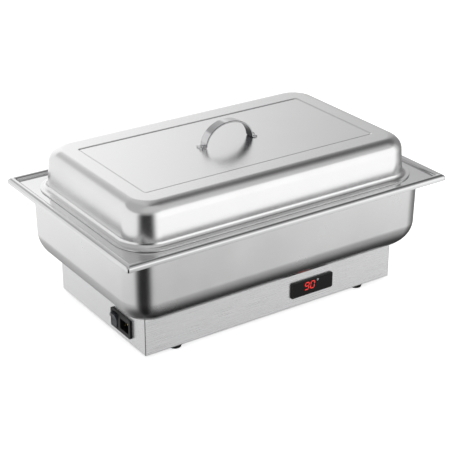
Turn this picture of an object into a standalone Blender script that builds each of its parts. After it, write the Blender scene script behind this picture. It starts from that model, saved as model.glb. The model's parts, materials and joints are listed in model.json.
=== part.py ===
"""Electric buffet server: heated base, water basin with a rim frame, food pan and lid.

Metres, +Z up. X runs along the long side, the display faces -Y and the mains inlet -X.
The origin is on the floor, under the middle of the rim frame.
"""

import math

import bmesh
import bpy
from mathutils import Vector

# ---------------------------------------------------------------- driving dimensions

SEAT_GAP = 0.0003  # between two faces that touch
CORNER_STEPS = 6  # spans of one rounded corner of a pressed shell

# Feet and base housing
FOOT_RADIUS = 0.011
FOOT_HEIGHT = 0.0057
FOOT_TAPER = 0.0015
FOOT_BORE_DEPTH = 0.0032  # counterbore that hides the screw head
FOOT_SPACING_X = 0.350
FOOT_EDGE_Y = 0.0120  # from the housing's long wall to the foot's axis
BASE_LENGTH = 0.468
BASE_DEPTH = 0.2615
BASE_HEIGHT = 0.061
BASE_SHEET = 0.001
BASE_EDGE = 0.0015
BASE_LIP = 0.020  # in-turned flange round the open underside
PLATE_SHEET = 0.0012
PLATE_EDGE_CLEARANCE = 0.002

# Screws and nuts
SCREW_RADIUS = 0.002
SCREW_HEAD_RADIUS = 0.0037
SCREW_HEAD = 0.0022
SCREW_CLEARANCE = 0.0004
NUT_RADIUS = 0.0040
NUT_HEIGHT = 0.0030
NUT_CLEARANCE = 0.0007
NUT_BORE = SCREW_RADIUS + NUT_CLEARANCE

# Heater
HEATER_LENGTH = 0.392
HEATER_DEPTH = 0.188
HEATER_FLANGE = 0.010  # step that stays under the deck
HEATER_FLANGE_THICKNESS = 0.004
HEATER_CLEARANCE = 0.001
ELEMENT_RADIUS = 0.004
ELEMENT_PITCH = 0.040  # between the four straight runs
ELEMENT_RUN = 0.300
ELEMENT_TAIL_X = 0.180  # where the two cold ends turn down
ELEMENT_TAIL_DROP = 0.024
CLAMP_X = 0.090
CLAMP_WIDTH = 0.014
CLAMP_THICKNESS = 0.0016
CLAMP_OVERHANG = 0.006
CLAMP_SCREW_GRIP = 0.003  # length of thread in the heating plate
MAT_THICKNESS = 0.0075
MAT_HOLE_CLEARANCE = 0.0015
SHIELD_SHEET = 0.001
SHIELD_CLEARANCE = 0.002  # from the heating plate's edge to the shield's wall
SHIELD_FLANGE = 0.009
CUTOUT_RADIUS = 0.0080
CUTOUT_HEIGHT = 0.007
PROBE_X = 0.040
PROBE_RADIUS = 0.0025
PROBE_LENGTH = 0.024

# Electronics
BOARD_LENGTH = 0.100
BOARD_DEPTH = 0.070
BOARD_X = 0.010
BOARD_Y = -0.015
BOARD_THICKNESS = 0.0016
BOARD_HOLE_INSET = 0.005
POST_HEIGHT = 0.006
POST_RADIUS = 0.003
POST_NECK = 0.0014
POST_HEAD = 0.0024
BLOCK_WIDTH = 0.010
BLOCK_DEPTH = 0.030
BLOCK_HEIGHT = 0.009
RELAY_SIZE = (0.018, 0.015, 0.015)
TRANSFORMER_SIZE = (0.030, 0.026, 0.018)
WIRE_RADIUS = 0.0012
RIBBON_WIDTH = 0.012
RIBBON_THICKNESS = 0.0008

# Display in the front wall
DISPLAY_X = 0.073
DISPLAY_Z = 0.0365
DISPLAY_WIDTH = 0.082
DISPLAY_HEIGHT = 0.027
DISPLAY_PROUD = 0.0025
DISPLAY_FRAME = 0.0030  # border round the window
DISPLAY_SHOULDER = 0.0035  # flange that rests on the wall
DISPLAY_DEPTH = 0.0060  # body behind the flange
WINDOW_THICKNESS = 0.0012
WINDOW_LEDGE = 0.0030
DIGIT_CLEARANCE = 0.0010
DISPLAY_CORNER = 0.0030

# Inlet and switch unit in the left end wall
INLET_Y = -0.0645
INLET_Z = 0.0335
INLET_WIDTH = 0.058
INLET_HEIGHT = 0.031
INLET_PROUD = 0.0038
INLET_FLANGE = 0.0022
INLET_BODY_DEPTH = 0.021
INLET_CORNER = 0.0025
SOCKET_OFFSET = -0.0120  # from the unit's middle
SOCKET_WIDTH = 0.0250
SOCKET_HEIGHT = 0.0175
SOCKET_DEPTH = 0.0170
PIN_WIDTH = 0.0040
PIN_THICKNESS = 0.0020
PIN_REACH = 0.0110  # in the socket
PIN_TAB = 0.0070  # behind the body
PIN_SPREAD = 0.0070
PIN_RISE = 0.0022
ROCKER_OFFSET = 0.0160
ROCKER_WIDTH = 0.0135
ROCKER_LENGTH = 0.0210
ROCKER_CROWN = 0.0032  # height of a raised end above the unit's face
ROCKER_WAIST = 0.0012
ROCKER_BACK = 0.0060
ROCKER_CLEARANCE = 0.0006
ROCKER_PIVOT_RADIUS = 0.0014
ROCKER_PIVOT_DEPTH = 0.0022  # of the pivot below the unit's face
ROCKER_TILT = math.radians(8)
EARTH_SCREW_Y = -0.0267
EARTH_SCREW_Z = 0.0302
EARTH_SCREW_RADIUS = 0.0015
EARTH_HEAD_RADIUS = 0.0022
EARTH_HEAD = 0.0013

# Water basin
BASIN_LENGTH = 0.543
BASIN_DEPTH = 0.338
BASIN_HEIGHT = 0.1218
BASIN_SHEET = 0.001
BASIN_CORNER = 0.040
BASIN_LEAN = 0.001
BASIN_FLANGE = 0.0095
BASIN_SHOULDER = 0.004
BASIN_FLOOR_INSET = 0.042
BASIN_FLOOR_RISE = 0.044

# Rim frame
RIM_MARGIN = 0.0275  # from the food pan's edge out to the rim's
RIM_SHEET = 0.001
RIM_CORNER = 0.004
RIM_BEAD_WIDTH = 0.0125
RIM_BEAD_RISE = 0.0048
RIM_SKIRT = 0.0044
RIM_LIP = 0.005
RIM_OPENING_CLEARANCE = 0.0025

# Food pan, GN 1/1-65
FOOD_LENGTH = 0.530
FOOD_WIDTH = 0.325
FOOD_CORNER = 0.054
FOOD_SHEET = 0.0008
FOOD_LEDGE = 0.015
FOOD_SHOULDER = 0.003
FOOD_DEPTH = 0.065
FOOD_WELL_CORNER = 0.040
FOOD_LEAN = 0.010
FOOD_FILLET = 0.014

# Lid
LID_LENGTH = 0.534
LID_WIDTH = 0.328
LID_CORNER = 0.056
LID_SHEET = 0.0008
LID_FLANGE = 0.003
LID_COVE = 0.008
LID_LEAN = 0.0025
LID_FILLET = 0.022
LID_HEIGHT = 0.0618
LID_PANEL_LENGTH = 0.416
LID_PANEL_WIDTH = 0.198
LID_PANEL_RISE = 0.0010
LID_PANEL_SLOPE = 0.0025
LID_PANEL_CORNER = 0.002

# Handle
HANDLE_SPAN = 0.084  # between the middles of the band at its feet
HANDLE_RISE = 0.033
HANDLE_WIDTH = 0.017
HANDLE_THICKNESS = 0.0025
HANDLE_TAB = 0.010
RIVET_RADIUS = 0.002
RIVET_HEAD_RADIUS = 0.0038
RIVET_HEAD = 0.0018
RIVET_TAIL_RADIUS = 0.0032
RIVET_TAIL = 0.0010

# ---------------------------------------------------------------- levels and places that follow

BASE_BOTTOM = FOOT_HEIGHT + SEAT_GAP
DECK_TOP = BASE_BOTTOM + BASE_HEIGHT
DECK_UNDER = DECK_TOP - BASE_SHEET
PLATE_BOTTOM = BASE_BOTTOM + BASE_SHEET + SEAT_GAP
PLATE_TOP = PLATE_BOTTOM + PLATE_SHEET
WALL_LEFT = -BASE_LENGTH / 2
WALL_FRONT = -BASE_DEPTH / 2
FOOT_X = FOOT_SPACING_X / 2
FOOT_Y = BASE_DEPTH / 2 - FOOT_EDGE_Y

HEATER_UNDER = DECK_UNDER - SEAT_GAP - HEATER_FLANGE_THICKNESS
ELEMENT_Z = HEATER_UNDER - SEAT_GAP - ELEMENT_RADIUS
CLAMP_TOP = ELEMENT_Z - ELEMENT_RADIUS - SEAT_GAP
CLAMP_BOTTOM = CLAMP_TOP - CLAMP_THICKNESS
MAT_TOP = CLAMP_BOTTOM - SEAT_GAP - SCREW_HEAD - SEAT_GAP
MAT_BOTTOM = MAT_TOP - MAT_THICKNESS
SHIELD_BOTTOM = MAT_BOTTOM - SEAT_GAP - SHIELD_SHEET

BOARD_BOTTOM = PLATE_TOP + SEAT_GAP + POST_HEIGHT + SEAT_GAP
BOARD_TOP = BOARD_BOTTOM + BOARD_THICKNESS
BOARD_LEFT = BOARD_X - BOARD_LENGTH / 2
BOARD_RIGHT = BOARD_X + BOARD_LENGTH / 2
BOARD_FRONT = BOARD_Y - BOARD_DEPTH / 2
BLOCK_TERMINAL_Z = BOARD_TOP + SEAT_GAP + BLOCK_HEIGHT / 2

BASIN_BOTTOM = DECK_TOP + SEAT_GAP
BASIN_TOP = BASIN_BOTTOM + BASIN_HEIGHT
RING_TOP = BASIN_TOP + SEAT_GAP + RIM_SHEET
FOOD_FLANGE_UNDER = RING_TOP + SEAT_GAP
FOOD_FLANGE_TOP = FOOD_FLANGE_UNDER + FOOD_SHEET
LID_FLANGE_TOP = FOOD_FLANGE_TOP + SEAT_GAP + LID_SHEET
LID_TOP = LID_FLANGE_TOP - LID_SHEET + LID_HEIGHT
LID_PANEL_TOP = LID_TOP + LID_PANEL_RISE
RIM_LENGTH = FOOD_LENGTH + 2 * RIM_MARGIN
RIM_DEPTH = FOOD_WIDTH + 2 * RIM_MARGIN
RIM_OPENING_INSET = RIM_MARGIN + FOOD_LEDGE - RIM_OPENING_CLEARANCE


# ---------------------------------------------------------------- scene, materials, objects


def fresh_scene():
    """Empties the scene and makes one collection for the parts and one for the cutters."""
    for old in list(bpy.data.objects):
        bpy.data.objects.remove(old, do_unlink=True)
    made = []
    for name in ("electric_buffet_server", "cutters"):
        collection = bpy.data.collections.new(name)
        bpy.context.scene.collection.children.link(collection)
        made.append(collection)
    made[1].hide_render = True
    return made


PARTS, CUTTERS = fresh_scene()


def material(name, colour, roughness, metallic):
    made = bpy.data.materials.new(name)
    made.use_nodes = True
    shader = made.node_tree.nodes["Principled BSDF"]
    shader.inputs["Base Color"].default_value = (*colour, 1.0)
    shader.inputs["Roughness"].default_value = roughness
    shader.inputs["Metallic"].default_value = metallic
    return made


SATIN_STEEL = material("satin_steel", (0.62, 0.62, 0.61), 0.28, 1.0)
POLISHED_STEEL = material("polished_steel", (0.72, 0.72, 0.71), 0.08, 1.0)
ZINC_STEEL = material("zinc_steel", (0.52, 0.53, 0.54), 0.40, 1.0)
ALUMINIUM = material("cast_aluminium", (0.60, 0.61, 0.62), 0.45, 1.0)
RUBBER = material("black_rubber", (0.012, 0.012, 0.012), 0.80, 0.0)
BLACK_PLASTIC = material("black_plastic", (0.015, 0.015, 0.016), 0.35, 0.0)
SMOKED_WINDOW = material("smoked_window", (0.02, 0.006, 0.006), 0.06, 0.0)
NYLON = material("white_nylon", (0.80, 0.79, 0.75), 0.50, 0.0)
BOARD_GREEN = material("board_laminate", (0.03, 0.16, 0.07), 0.45, 0.0)
CERAMIC_FIBRE = material("ceramic_fibre", (0.82, 0.80, 0.76), 0.95, 0.0)
BRASS = material("contact_brass", (0.70, 0.52, 0.24), 0.30, 1.0)
WIRE_COLOURS = {
    "line": material("brown_insulation", (0.16, 0.07, 0.03), 0.45, 0.0),
    "neutral": material("blue_insulation", (0.03, 0.12, 0.45), 0.45, 0.0),
    "earth": material("green_insulation", (0.08, 0.36, 0.08), 0.45, 0.0),
    "heater": material("grey_silicone", (0.48, 0.47, 0.45), 0.55, 0.0),
}


def place(name, mesh, look, location=(0, 0, 0), rotation=(0, 0, 0), collection=None):
    piece = bpy.data.objects.new(name, mesh)
    (collection or PARTS).objects.link(piece)
    piece.location = location
    piece.rotation_euler = rotation
    if look:
        mesh.materials.clear()
        mesh.materials.append(look)
    return piece


def mesh_from(name, shape):
    mesh = bpy.data.meshes.new(name)
    shape.to_mesh(mesh)
    shape.free()
    return mesh


def smooth(piece):
    piece.data.shade_smooth()
    piece.data.set_sharp_from_angle(angle=math.radians(35))


def bevel(piece, width, segments=2):
    edge = piece.modifiers.new("rounded_edges", "BEVEL")
    edge.width = width
    edge.segments = segments
    edge.limit_method = "ANGLE"
    edge.angle_limit = math.radians(40)
    return piece


# ---------------------------------------------------------------- shapes


def block(name, centre, size, look, collection=None):
    """A box about its own centre."""
    shape = bmesh.new()
    bmesh.ops.create_cube(shape, size=1.0)
    bmesh.ops.scale(shape, vec=Vector(size), verts=shape.verts)
    return place(name, mesh_from(name, shape), look, centre, (0, 0, 0), collection)


def inset(shape, face, width):
    """Moves the face's edges in by an even width, and leaves a border round it."""
    bmesh.ops.inset_region(
        shape, faces=[face], thickness=width, use_boundary=True, use_even_offset=True
    )


def turned(name, profile, look, location=(0, 0, 0), rotation=(0, 0, 0), steps=24, ring=False):
    """A shape of revolution. Its profile (radius, height) runs down the outer side."""
    shape = bmesh.new()
    points = [shape.verts.new((radius, 0, height)) for radius, height in profile]
    for first, second in zip(points, points[1:]):
        shape.edges.new((first, second))
    if ring:
        shape.edges.new((points[-1], points[0]))
    piece = place(name, mesh_from(name, shape), look, location, rotation)
    spin = piece.modifiers.new("turned", "SCREW")
    spin.axis = "Z"
    spin.steps = steps
    spin.render_steps = steps
    spin.use_merge_vertices = True
    spin.merge_threshold = 0.00001
    spin.use_smooth_shade = False
    return piece


def curve_piece(name, points, look, radius=0.0, cyclic=False):
    curve = bpy.data.curves.new(name, "CURVE")
    curve.dimensions = "3D"
    spline = curve.splines.new("POLY")
    spline.points.add(len(points) - 1)
    for target, point in zip(spline.points, points):
        target.co = (*point, 1.0)
    spline.use_cyclic_u = cyclic
    curve.bevel_depth = radius
    curve.bevel_resolution = 2
    curve.use_fill_caps = True
    piece = bpy.data.objects.new(name, curve)
    PARTS.objects.link(piece)
    curve.materials.append(look)
    return piece


def flat_outline(name, points, thickness, look, location, rotation):
    """A closed outline in the object's XY plane, with half its thickness on either side."""
    piece = curve_piece(name, [(x, y, 0) for x, y in points], look, cyclic=True)
    piece.data.dimensions = "2D"
    piece.data.fill_mode = "BOTH"
    piece.data.extrude = thickness / 2
    piece.location = location
    piece.rotation_euler = rotation
    return piece


def as_mesh(piece):
    """Turns a curve object into a mesh object with welded caps, ready to be cut."""
    bpy.context.view_layer.update()
    graph = bpy.context.evaluated_depsgraph_get()
    mesh = bpy.data.meshes.new_from_object(piece.evaluated_get(graph))
    name, look, where = piece.name, piece.data.materials[0], piece.matrix_world.copy()
    bpy.data.objects.remove(piece, do_unlink=True)
    shape = bmesh.new()
    shape.from_mesh(mesh)
    bmesh.ops.remove_doubles(shape, verts=shape.verts, dist=0.000005)
    bmesh.ops.recalc_face_normals(shape, faces=shape.faces)
    shape.to_mesh(mesh)
    shape.free()
    made = place(name, mesh, look)
    made.matrix_world = where
    return made


def cylinder_cutter(name, centre, radius, length, rotation=(0, 0, 0), sides=20):
    shape = bmesh.new()
    bmesh.ops.create_cone(
        shape, cap_ends=True, segments=sides, radius1=radius, radius2=radius, depth=length
    )
    return place(name, mesh_from(name, shape), None, centre, rotation, CUTTERS)


def boolean(target, other, operation="DIFFERENCE"):
    other.display_type = "WIRE"
    other.hide_render = True
    step = target.modifiers.new(other.name, "BOOLEAN")
    step.operation = operation
    step.object = other


def cut_box(target, name, centre, size):
    boolean(target, block(name, centre, size, None, CUTTERS))


def cut_round(target, name, centre, radius, length, rotation=(0, 0, 0)):
    boolean(target, cylinder_cutter(name, centre, radius, length, rotation))


def ring_points(length, depth, radius, height):
    """A rounded rectangle about the Z axis, counter-clockwise seen from above."""
    points = []
    for quarter, (side_x, side_y) in enumerate(((1, 1), (-1, 1), (-1, -1), (1, -1))):
        middle = Vector((side_x * (length / 2 - radius), side_y * (depth / 2 - radius), height))
        for step in range(CORNER_STEPS + 1):
            angle = (quarter + step / CORNER_STEPS) * math.pi / 2
            points.append(middle + radius * Vector((math.cos(angle), math.sin(angle), 0)))
    return points


def pressed_shell(name, rings, thickness, look, closed_first=False, closed_last=False):
    """A sheet through the rings. From the first ring to the next, its face is on the left hand.

    The rings are its outer side, and the sheet's thickness lies behind them.
    """
    shape = bmesh.new()
    rows = [[shape.verts.new(point) for point in ring] for ring in rings]
    count = len(rows[0])
    for upper, lower in zip(rows, rows[1:]):
        for index in range(count):
            after = (index + 1) % count
            shape.faces.new((upper[index], lower[index], lower[after], upper[after]))
    if closed_first:
        shape.faces.new(rows[0])
    if closed_last:
        shape.faces.new(reversed(rows[-1]))
    piece = place(name, mesh_from(name, shape), look)
    sheet = piece.modifiers.new("sheet", "SOLIDIFY")
    sheet.thickness = thickness
    sheet.offset = -1
    sheet.use_even_offset = True
    smooth(piece)
    return piece


def quarter_arc(steps=6):
    """Angles from 0 to a right angle."""
    return [math.pi / 2 * step / steps for step in range(steps + 1)]


def smooth_route(points, spans=4):
    """Points on a Catmull-Rom curve through the given ones."""
    points = [Vector(point) for point in points]
    ends = [2 * points[0] - points[1], *points, 2 * points[-1] - points[-2]]
    route = []
    for before, start, stop, after in zip(ends, ends[1:], ends[2:], ends[3:]):
        for step in range(spans):
            t = step / spans
            route.append(
                0.5
                * (
                    2 * start
                    + (stop - before) * t
                    + (2 * before - 5 * start + 4 * stop - after) * t**2
                    + (3 * start - before - 3 * stop + after) * t**3
                )
            )
    return [*route, points[-1]]


def ribbon_outline(centreline, thickness):
    """The outline of a band of even thickness along a flat path."""
    left, right = [], []
    last = len(centreline) - 1
    for index, point in enumerate(centreline):
        before = Vector(centreline[max(index - 1, 0)])
        after = Vector(centreline[min(index + 1, last)])
        here = Vector(point)
        arms = [arm.normalized() for arm in (here - before, after - here) if arm.length > 0]
        normals = [Vector((-arm.y, arm.x)) for arm in arms]
        normal = sum(normals, Vector((0, 0))).normalized()
        reach = thickness / 2 / normal.dot(normals[0])
        left.append(here + normal * reach)
        right.append(here - normal * reach)
    return left + right[::-1]


def screw(name, location, rotation, shank, radius=SCREW_RADIUS, head=(SCREW_HEAD_RADIUS, SCREW_HEAD)):
    """A pan-head screw. Its head stands on the local XY plane and its shank points down."""
    head_radius, head_height = head
    profile = [
        (0, head_height),
        (head_radius * 0.62, head_height),
        (head_radius, head_height * 0.45),
        (head_radius, 0),
        (radius, 0),
        (radius, -shank),
        (0, -shank),
    ]
    return turned(name, profile, ZINC_STEEL, location, rotation, steps=16)


def nut(name, location, rotation=(0, 0, 0), radius=NUT_RADIUS, bore=NUT_BORE):
    """A hexagon nut that stands on the local XY plane."""
    profile = [(radius, NUT_HEIGHT), (radius, 0), (bore, 0), (bore, NUT_HEIGHT)]
    return turned(name, profile, ZINC_STEEL, location, rotation, steps=6, ring=True)


# ---------------------------------------------------------------- base


FOOT_CORNERS = {
    "front_left": (-1, -1),
    "front_right": (1, -1),
    "back_left": (-1, 1),
    "back_right": (1, 1),
}


def foot_places():
    return {name: (x * FOOT_X, y * FOOT_Y) for name, (x, y) in FOOT_CORNERS.items()}


def housing_shell():
    """The casing: four walls, a deck with the heater's opening and a lip round the underside."""
    shape = bmesh.new()
    bmesh.ops.create_cube(shape, size=1.0)
    bmesh.ops.scale(shape, vec=Vector((BASE_LENGTH, BASE_DEPTH, BASE_HEIGHT)), verts=shape.verts)
    shape.faces.ensure_lookup_table()
    deck = max(shape.faces, key=lambda face: face.calc_center_median().z)
    under = min(shape.faces, key=lambda face: face.calc_center_median().z)
    inset(shape, under, BASE_LIP)
    inset(shape, deck, BASE_LIP)
    half = Vector((HEATER_LENGTH / 2, HEATER_DEPTH / 2)) - Vector((HEATER_FLANGE, HEATER_FLANGE))
    half += Vector((HEATER_CLEARANCE, HEATER_CLEARANCE))
    for corner in deck.verts:
        corner.co.x = math.copysign(half.x, corner.co.x)
        corner.co.y = math.copysign(half.y, corner.co.y)
    bmesh.ops.delete(shape, geom=[deck, under], context="FACES_ONLY")
    middle = (0, 0, BASE_BOTTOM + BASE_HEIGHT / 2)
    shell = place("housing_shell", mesh_from("housing_shell", shape), SATIN_STEEL, middle)
    bevel(shell, BASE_EDGE)
    sheet = shell.modifiers.new("sheet", "SOLIDIFY")
    sheet.thickness = BASE_SHEET
    sheet.offset = -1
    sheet.use_even_offset = True
    through = 6 * BASE_SHEET
    for corner, (x, y) in foot_places().items():
        bore = SCREW_RADIUS + SCREW_CLEARANCE
        cut_round(shell, f"lip_hole_{corner}", (x, y, BASE_BOTTOM), bore, through)
    cut_box(
        shell,
        "display_cutout",
        (DISPLAY_X, WALL_FRONT, DISPLAY_Z),
        (
            DISPLAY_WIDTH - 2 * DISPLAY_SHOULDER + 2 * SEAT_GAP,
            through,
            DISPLAY_HEIGHT - 2 * DISPLAY_SHOULDER + 2 * SEAT_GAP,
        ),
    )
    cut_box(
        shell,
        "inlet_cutout",
        (WALL_LEFT, INLET_Y, INLET_Z),
        (
            through,
            INLET_WIDTH - 2 * INLET_FLANGE + 2 * SEAT_GAP,
            INLET_HEIGHT - 2 * INLET_FLANGE + 2 * SEAT_GAP,
        ),
    )
    cut_round(
        shell,
        "earth_screw_hole",
        (WALL_LEFT, EARTH_SCREW_Y, EARTH_SCREW_Z),
        EARTH_SCREW_RADIUS + SCREW_CLEARANCE,
        through,
        (0, math.pi / 2, 0),
    )
    return shell


def bottom_plate():
    edge = 2 * (BASE_SHEET + PLATE_EDGE_CLEARANCE)
    size = (BASE_LENGTH - edge, BASE_DEPTH - edge, PLATE_SHEET)
    plate = block("bottom_plate", (0, 0, (PLATE_BOTTOM + PLATE_TOP) / 2), size, ZINC_STEEL)
    for corner, (x, y) in foot_places().items():
        bore = SCREW_RADIUS + SCREW_CLEARANCE
        cut_round(plate, f"plate_hole_{corner}", (x, y, PLATE_TOP), bore, 4 * PLATE_SHEET)
    for index in range(4):
        x, y = post_place(index)
        name = f"post_hole_{index + 1}"
        cut_round(plate, name, (x, y, PLATE_TOP), POST_NECK + SCREW_CLEARANCE, 4 * PLATE_SHEET)
    return plate


def feet():
    """Rubber feet, each held by a screw from below and a nut on the bottom plate."""
    bore = SCREW_RADIUS + SCREW_CLEARANCE
    recess = SCREW_HEAD_RADIUS + SCREW_CLEARANCE
    profile = [
        (FOOT_RADIUS, FOOT_HEIGHT),
        (FOOT_RADIUS - FOOT_TAPER, 0),
        (recess, 0),
        (recess, FOOT_BORE_DEPTH),
        (bore, FOOT_BORE_DEPTH),
        (bore, FOOT_HEIGHT),
    ]
    head_seat = FOOT_BORE_DEPTH - SEAT_GAP
    shank = PLATE_TOP + SEAT_GAP + NUT_HEIGHT + 0.001 - head_seat
    for corner, (x, y) in foot_places().items():
        turned(f"foot_{corner}", profile, RUBBER, (x, y, 0), ring=True)
        screw(f"foot_screw_{corner}", (x, y, head_seat), (math.pi, 0, 0), shank)
        nut(f"foot_nut_{corner}", (x, y, PLATE_TOP + SEAT_GAP))


# ---------------------------------------------------------------- heater


def element_route():
    """Four straight runs joined by three half turns, and a cold end down at either side."""
    runs = [(index - 1.5) * ELEMENT_PITCH for index in range(4)]
    turn = ELEMENT_PITCH / 2
    reach = ELEMENT_RUN / 2
    tail = 2.5 * ELEMENT_RADIUS
    bottom = ELEMENT_Z - ELEMENT_TAIL_DROP
    start = [(ELEMENT_TAIL_X, runs[0], bottom)]
    corner = [
        (
            ELEMENT_TAIL_X - tail * (1 - math.cos(angle)),
            runs[0],
            ELEMENT_Z - tail * (1 - math.sin(angle)),
        )
        for angle in quarter_arc(4)
    ]
    route = start + corner
    for index, (here, after) in enumerate(zip(runs, runs[1:])):
        side = -1 if index % 2 == 0 else 1
        for step in range(9):
            angle = math.pi * step / 8
            y = (here + after) / 2 - turn * math.cos(angle)
            route.append((side * (reach + turn * math.sin(angle)), y, ELEMENT_Z))
    ending = [(x, runs[-1], z) for x, _, z in reversed(corner)]
    return [*route, *ending, (ELEMENT_TAIL_X, runs[-1], bottom)]


def heater():
    shape = bmesh.new()
    bmesh.ops.create_cube(shape, size=1.0)
    size = Vector((HEATER_LENGTH, HEATER_DEPTH, HEATER_FLANGE_THICKNESS))
    bmesh.ops.scale(shape, vec=size, verts=shape.verts)
    pad = max(shape.faces, key=lambda face: face.calc_center_median().z)
    inset(shape, pad, HEATER_FLANGE)
    raised = bmesh.ops.extrude_face_region(shape, geom=[pad])["geom"]
    corners = [item for item in raised if isinstance(item, bmesh.types.BMVert)]
    bmesh.ops.delete(shape, geom=[pad], context="FACES_ONLY")
    step_height = DECK_TOP - HEATER_UNDER - HEATER_FLANGE_THICKNESS
    bmesh.ops.translate(shape, vec=Vector((0, 0, step_height)), verts=corners)
    middle = (0, 0, HEATER_UNDER + HEATER_FLANGE_THICKNESS / 2)
    plate = place("heating_plate", mesh_from("heating_plate", shape), ALUMINIUM, middle)

    curve_piece("heating_element", element_route(), ZINC_STEEL, ELEMENT_RADIUS)

    span = 3 * ELEMENT_PITCH + 2 * (ELEMENT_RADIUS + CLAMP_OVERHANG)
    grip = HEATER_UNDER - CLAMP_BOTTOM + CLAMP_SCREW_GRIP
    bore = SCREW_RADIUS + SCREW_CLEARANCE
    for side, sign in (("left", -1), ("right", 1)):
        x = sign * CLAMP_X
        bar = block(
            f"element_clamp_{side}",
            (x, 0, (CLAMP_TOP + CLAMP_BOTTOM) / 2),
            (CLAMP_WIDTH, span, CLAMP_THICKNESS),
            ZINC_STEEL,
        )
        for end, y in (("front", -ELEMENT_PITCH), ("back", ELEMENT_PITCH)):
            seat = (x, y, CLAMP_BOTTOM - SEAT_GAP)
            screw(f"clamp_screw_{side}_{end}", seat, (math.pi, 0, 0), grip)
            cut_round(bar, f"clamp_hole_{side}_{end}", (x, y, CLAMP_TOP), bore, 4 * CLAMP_THICKNESS)
            depth = 2 * (CLAMP_SCREW_GRIP + SCREW_CLEARANCE)
            cut_round(plate, f"thread_hole_{side}_{end}", (x, y, HEATER_UNDER), bore, depth)

    cutout = [
        (0, 0),
        (CUTOUT_RADIUS, 0),
        (CUTOUT_RADIUS, -0.35 * CUTOUT_HEIGHT),
        (0.8 * CUTOUT_RADIUS, -0.35 * CUTOUT_HEIGHT),
        (0.8 * CUTOUT_RADIUS, -CUTOUT_HEIGHT),
        (0, -CUTOUT_HEIGHT),
    ]
    turned("thermal_cutout", cutout, NYLON, (0, 0, HEATER_UNDER - SEAT_GAP))
    probe = [(0, PROBE_LENGTH)]
    probe += [
        (PROBE_RADIUS * math.sin(angle), PROBE_LENGTH - PROBE_RADIUS * (1 - math.cos(angle)))
        for angle in quarter_arc(4)[1:]
    ]
    probe += [(PROBE_RADIUS, 0), (0, 0)]
    seat = (PROBE_X, 0, HEATER_UNDER - SEAT_GAP - PROBE_RADIUS)
    turned("temperature_probe", probe, POLISHED_STEEL, seat, (0, math.pi / 2, 0), steps=12)


def heat_shield():
    """The mat under the element and the sheet tray that carries it, hung from the deck."""
    hole = ELEMENT_RADIUS + MAT_HOLE_CLEARANCE
    wall = HEATER_LENGTH / 2 + SHIELD_CLEARANCE + SHIELD_SHEET
    wall_y = HEATER_DEPTH / 2 + SHIELD_CLEARANCE + SHIELD_SHEET
    under = DECK_UNDER - SEAT_GAP - SHIELD_SHEET
    corner = 0.006
    rings = []
    for grow, height in ((SHIELD_FLANGE, under), (0, under), (0, SHIELD_BOTTOM)):
        size = (2 * (wall + grow), 2 * (wall_y + grow))
        rings.append(ring_points(*size, corner + grow, height))
    shield = pressed_shell("heat_shield", rings, SHIELD_SHEET, ZINC_STEEL, closed_last=True)
    mat_size = (
        2 * (wall - SHIELD_SHEET - SEAT_GAP - corner / 2),
        2 * (wall_y - SHIELD_SHEET - SEAT_GAP - corner / 2),
        MAT_THICKNESS,
    )
    mat = block("insulation_mat", (0, 0, (MAT_TOP + MAT_BOTTOM) / 2), mat_size, CERAMIC_FIBRE)
    for end, y in (("front", -1.5 * ELEMENT_PITCH), ("back", 1.5 * ELEMENT_PITCH)):
        where = (ELEMENT_TAIL_X, y, MAT_BOTTOM)
        cut_round(mat, f"mat_hole_{end}", where, hole, 4 * MAT_THICKNESS)
        where = (ELEMENT_TAIL_X, y, SHIELD_BOTTOM)
        cut_round(shield, f"shield_hole_{end}", where, hole, 6 * SHIELD_SHEET)


# ---------------------------------------------------------------- electronics


def post_place(index):
    side_x = 1 if index % 2 else -1
    side_y = 1 if index > 1 else -1
    return (
        BOARD_X + side_x * (BOARD_LENGTH / 2 - BOARD_HOLE_INSET),
        BOARD_Y + side_y * (BOARD_DEPTH / 2 - BOARD_HOLE_INSET),
    )


def on_board(name, x, y, size, look):
    """A component that stands on the control board."""
    middle = (x, y, BOARD_TOP + SEAT_GAP + size[2] / 2)
    return block(name, middle, size, look)


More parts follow.
